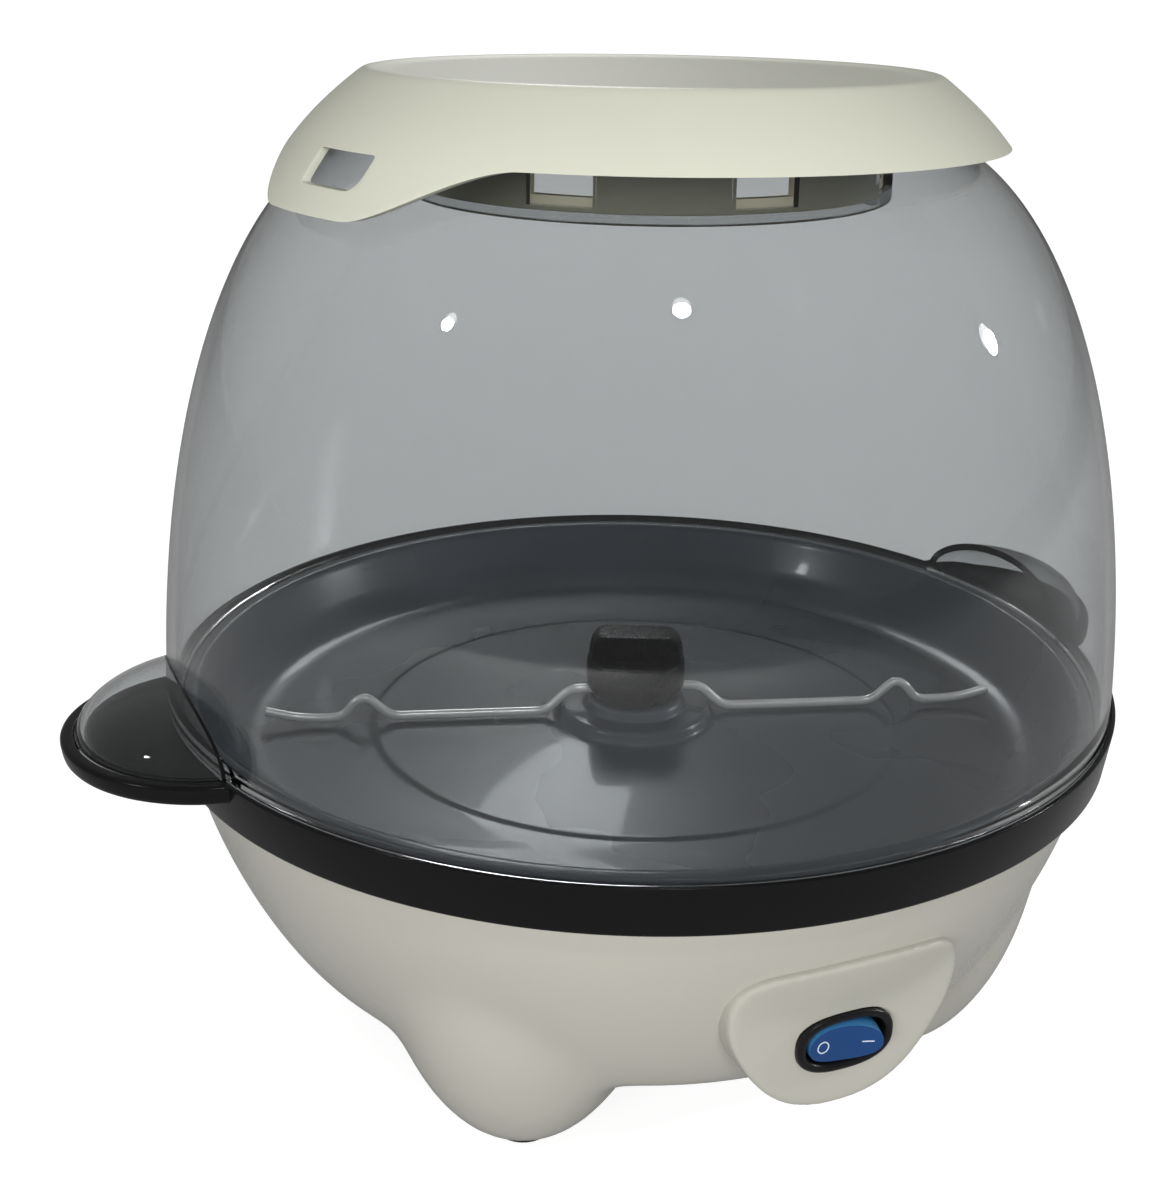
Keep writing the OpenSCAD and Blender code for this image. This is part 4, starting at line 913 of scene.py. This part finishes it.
class POPCORN_OT_switch(bpy.types.Operator):
    """Models the oval bezel and the rocker with its marks"""
    bl_idname = "popcorn.switch"
    bl_label = "Switch"

    def execute(self, context):
        centre = (0, PANEL_FACE_Y, SWITCH_Z)
        bezel = oval_stack("bezel_piece", centre, [
            (13, 7.7, 0), (13, 7.7, 1.0), (12.85, 7.55, 1.5), (12.4, 7.15, 1.88), (11.9, 6.7, 2.0),
            (11.4, 6.2, 1.9), (10.9, 5.7, 1.5), (10.6, 5.4, 0.7), (10.55, 5.35, -7),
            (11.6, 6.3, -7), (11.6, 6.3, 0), (13, 7.7, 0)])
        complete(bezel, "base", "switch_bezel", finish_name="bezel_satin", slot="black_satin",
                 smooth=40)
        self.rocker(centre)
        return {"FINISHED"}

    @staticmethod
    def rocker(centre):
        """The hollow-faced rocker, tilted to its off position, with its two marks."""
        pivot, proud, deep, bow, hollow_d = -2.5, 3.6, 2.6, 30, 1.6
        pivot_y, bow_y = centre[1] - pivot, centre[1] - proud - bow + hollow_d
        rocker = oval_stack("rocker_piece", centre, [
            (9.1, 4.6, pivot - deep), (9.5, 5, pivot - deep + 0.6), (9.5, 5, 0),
            (9.2, 4.2, proud)], capped=True)
        hollow = rod_tool(bow, -20, 20, sides=720)
        hollow = moved(hollow, shifted(0, bow_y, SWITCH_Z))
        rocker = combine(rocker, hollow)
        rocker = round_edges(rocker, 0.4, angle=40, segments=4)
        pin = rod_tool(1.2, SWITCH_Z - 5.9, SWITCH_Z + 5.9, (0, pivot_y), sides=32)
        rocker = combine(rocker, pin, "UNION")
        tilt = (shifted(0, pivot_y, 0) @ Matrix.Rotation(math.radians(-9), 4, "Z")
                @ shifted(0, -pivot_y, 0))
        rocker = moved(rocker, tilt)
        complete(rocker, "rocker", "switch_rocker", finish_name="rocker_top", slot="blue",
                 smooth=40)
        # Faces that do not look straight out take the lighter blue, painted light on the rocker's
        # sides
        rocker.data.materials.append(finishes()["rocker_side_painted_light"])
        for face in rocker.data.polygons:
            out = -(tilt.inverted().to_3x3() @ face.normal).y
            face.material_index = 0 if out > 0.8 else 1

        def on_face(x, lift):
            """Place and turn on the hollow face at x, lifted off it."""
            deep_at = proud - hollow_d + bow - math.sqrt(bow * bow - x * x) + lift
            lean = math.asin(x / bow)
            return (tilt @ shifted(x, centre[1] - deep_at, SWITCH_Z)
                    @ Matrix.Rotation(-lean, 4, "Z") @ Matrix.Rotation(TURN / 4, 4, "X"))

        ring = added(bpy.ops.mesh.primitive_torus_add, major_radius=1.45 * MM,
                     minor_radius=0.17 * MM, major_segments=64, minor_segments=10)
        ring.scale = (1, 1, 0.6)
        moved(settle(named(ring, "off_mark")), on_face(-5.6, 0.09))
        bar = named(box_tool((-1.5, -0.15, -0.1), (1.5, 0.15, 0.1)), "on_mark")
        moved(round_edges(bar, 0.06, segments=2), on_face(5.7, 0.09))
        for mark in (ring, bar):
            complete(mark, "rocker", finish_name="mark_white", slot="blue")


# ---------------------------------------------------------------- inner works

INNER_FINISHES = {
    "pan_gasket": "silicone_red", "drive_shaft": "turned_steel", "shaft_bush": "bush_brass",
    "output_wheel": "gear_nylon", "middle_gear": "gear_nylon", "middle_pin": "turned_steel",
    "motor_rotor": "rotor_iron", "motor_coil": "coil_copper", "motor_can": "zinc_steel",
    "motor_plate": "zinc_steel", "motor_screws": "screw_steel", "heating_element": "heated_steel",
    "element_pins": "turned_steel", "element_clips": "zinc_steel", "thermostat": "phenolic_brown",
    "thermal_fuse": "bush_brass", "heat_shield": "mill_aluminium", "shield_spacers": "turned_steel",
    "clamp_screws": "screw_steel", "bottom_cover": "base_gloss", "cover_screws": "screw_steel",
    "switch_housing": "bezel_satin", "switch_terminals": "bush_brass", "cord_gland": "bezel_satin",
    "terminal_block": "block_cream", "inner_leads": "lead_red",
}


class POPCORN_OT_inner(bpy.types.Operator):
    """Finishes the construction nodes that keep their own shape"""
    bl_idname = "popcorn.inner"
    bl_label = "Inner works"

    def execute(self, context):
        for node, name in INNER_FINISHES.items():
            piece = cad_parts[node]
            for place in piece.material_slots:
                place.material = finishes()[name]
        return {"FINISHED"}


# ---------------------------------------------------------------- stage

# Name, azimuth, elevation, size, power and whether shiny and clear pieces show it
LAMPS = (
    ("spot_left", -84, 38, 0.09, 2.5, True),
    ("spot_right", -14, 51, 0.12, 3.5, True),
    ("side", 74, 20, 0.12, 7, True),
    ("back", 160, 35, 0.4, 4, True),
    ("fill_left", -55, 12, 0.5, 11, False),
    ("fill_right", -5, 14, 0.5, 13, False),
    ("fill_low", -35, 3, 0.6, 6, False),
)
LAMP_DISTANCE = 1.8
MIDDLE = Vector((0, 0, 0.12))
WORLD_LIGHT = 0.15
# Shares of the backdrop's brightness that reflections show, bare and through the dome
MIRRORED, MIRRORED_THROUGH = 0.08, 0.3


def direction(azimuth, elevation):
    """A unit vector; azimuth runs in degrees from the front (-Y) towards +X."""
    a, e = math.radians(azimuth), math.radians(elevation)
    return Vector((math.sin(a) * math.cos(e), -math.cos(a) * math.cos(e), math.sin(e)))


def lamp(name, azimuth, elevation, size, power, shown):
    """A round lamp aimed at the middle."""
    out = direction(azimuth, elevation)
    light = named(added(bpy.ops.object.light_add, type="AREA",
                        location=MIDDLE + out * LAMP_DISTANCE), name)
    light.data.shape = "DISK"
    light.data.size = size
    light.data.energy = power
    light.rotation_euler = out.to_track_quat("Z", "Y").to_euler()
    light.visible_glossy = light.visible_transmission = shown


def calculated(tree, operation, first, second):
    """A math node's result; each input is an output of the tree or a number."""
    node = tree.nodes.new("ShaderNodeMath")
    node.operation = operation
    for socket, value in zip(node.inputs, (first, second)):
        if isinstance(value, bpy.types.NodeSocket):
            tree.links.new(value, socket)
        else:
            socket.default_value = value
    return node.outputs[0]


def seen_directly(tree):
    """1 for camera and transmission rays, a share for reflections, 0 after a diffuse bounce."""
    path = tree.nodes.new("ShaderNodeLightPath").outputs
    through = tree.nodes.new("ShaderNodeMapRange")
    set_inputs(through, {"To Min": 1.0, "To Max": MIRRORED_THROUGH})
    tree.links.new(path["Glossy Depth"], through.inputs["Value"])
    passed = calculated(tree, "MULTIPLY", path["Is Transmission Ray"], through.outputs["Result"])
    mirrored = calculated(tree, "MULTIPLY", path["Is Glossy Ray"], MIRRORED)
    seen = calculated(tree, "MAXIMUM", path["Is Camera Ray"], passed)
    seen = calculated(tree, "MAXIMUM", seen, mirrored)
    direct = calculated(tree, "LESS_THAN", path["Diffuse Depth"], 0.5)
    return calculated(tree, "MULTIPLY", seen, direct)


class POPCORN_OT_stage(bpy.types.Operator):
    """Sets up the camera, lamps, world and floor"""
    bl_idname = "popcorn.stage"
    bl_label = "Stage"

    def execute(self, context):
        scene = context.scene
        scene.view_settings.view_transform = "Standard"
        self.camera(scene)
        self.world(scene)
        self.floor()
        for row in LAMPS:
            lamp(*row)
        return {"FINISHED"}

    @staticmethod
    def camera(scene):
        out, distance = direction(-26, 22.2), 0.4827
        ahead = -out
        right = ahead.cross(Vector((0, 0, 1))).normalized()
        axes = [ahead, right, right.cross(ahead)]
        pan, tilt, roll = 1.72, 1.82, -1.59
        for angle, axis in ((pan, 2), (tilt, 1), (roll, 0)):
            turn = Matrix.Rotation(math.radians(angle), 3, axes[axis])
            axes = [turn @ line for line in axes]
        ahead, right, up = axes
        camera = added(bpy.ops.object.camera_add,
                       location=Vector((0, 0, RING_TOP * MM)) + out * distance)
        camera.name = "camera"
        camera.rotation_euler = Matrix((right, up, -ahead)).transposed().to_euler()
        camera.data.sensor_fit = "HORIZONTAL"
        camera.data.sensor_width = 36
        camera.data.lens = 52.63
        scene.camera = camera

    @staticmethod
    def world(scene):
        world = bpy.data.worlds.new("studio")
        scene.world = world
        world.use_nodes = True
        tree = world.node_tree
        tree.nodes.clear()
        out = tree.nodes.new("ShaderNodeOutputWorld")
        mix = tree.nodes.new("ShaderNodeMixShader")
        tree.links.new(seen_directly(tree), mix.inputs[0])
        for number, strength in enumerate((WORLD_LIGHT, 1.0), 1):
            light = tree.nodes.new("ShaderNodeBackground")
            set_inputs(light, {"Color": (1, 1, 1, 1), "Strength": strength})
            tree.links.new(light.outputs[0], mix.inputs[number])
        tree.links.new(mix.outputs[0], out.inputs["Surface"])

    @staticmethod
    def floor():
        floor = named(added(bpy.ops.mesh.primitive_plane_add, size=30, location=(0, 0, 0)), "floor")
        material, shader, out = new_material("floor_paint")
        tree = material.node_tree
        set_inputs(shader, {"Base Color": (0.42, 0.42, 0.42, 1), "Roughness": 0.9,
                            "Specular IOR Level": 0.1})
        glow = tree.nodes.new("ShaderNodeEmission")
        place = tree.nodes.new("ShaderNodeTexCoord")
        away = tree.nodes.new("ShaderNodeVectorMath")
        away.operation = "LENGTH"
        tree.links.new(place.outputs["Object"], away.inputs[0])
        rising = ranged(material, away.outputs["Value"], 0.84, 1.0, 0.3, 1.4)
        shown = calculated(tree, "MULTIPLY", seen_directly(tree), rising)
        tree.links.new(shown, glow.inputs["Strength"])
        both = tree.nodes.new("ShaderNodeAddShader")
        tree.links.new(shader.outputs[0], both.inputs[0])
        tree.links.new(glow.outputs[0], both.inputs[1])
        tree.links.new(both.outputs[0], out.inputs["Surface"])
        floor.data.materials.append(material)


class POPCORN_PT_pieces(bpy.types.Panel):
    """Pieces and sizes of the popcorn maker"""
    bl_idname = "POPCORN_PT_pieces"
    bl_label = "Popcorn maker"
    bl_space_type = "VIEW_3D"
    bl_region_type = "UI"
    bl_category = "Popcorn"

    def draw(self, context):
        for group in SIZE_GROUPS:
            sizes = getattr(context.scene, group)
            for name in sizes.__annotations__:
                self.layout.prop(sizes, name)
        for operator in OPERATORS:
            self.layout.operator(operator.bl_idname)


SIZE_GROUPS = {
    "popcorn_ring": RingSizes, "popcorn_dome": DomeSizes, "popcorn_cap": CapSizes,
    "popcorn_base": BaseSizes, "popcorn_colours": Colours,
}
OPERATORS = (
    POPCORN_OT_stage, POPCORN_OT_base, POPCORN_OT_feet, POPCORN_OT_ring, POPCORN_OT_pan,
    POPCORN_OT_dome, POPCORN_OT_cap, POPCORN_OT_stirrer, POPCORN_OT_panel, POPCORN_OT_switch,
    POPCORN_OT_inner,
)


def register():
    for group in SIZE_GROUPS.values():
        bpy.utils.register_class(group)
    for operator in OPERATORS:
        bpy.utils.register_class(operator)
    bpy.utils.register_class(POPCORN_PT_pieces)
    for name, group in SIZE_GROUPS.items():
        setattr(bpy.types.Scene, name, PointerProperty(type=group))


def unregister():
    for name in SIZE_GROUPS:
        delattr(bpy.types.Scene, name)
    bpy.utils.unregister_class(POPCORN_PT_pieces)
    for operator in reversed(OPERATORS):
        bpy.utils.unregister_class(operator)
    for group in reversed(SIZE_GROUPS.values()):
        bpy.utils.unregister_class(group)


def main():
    register()
    for operator in OPERATORS:
        area, name = operator.bl_idname.split(".")
        getattr(getattr(bpy.ops, area), name)()


if __name__ == "__main__":
    main()
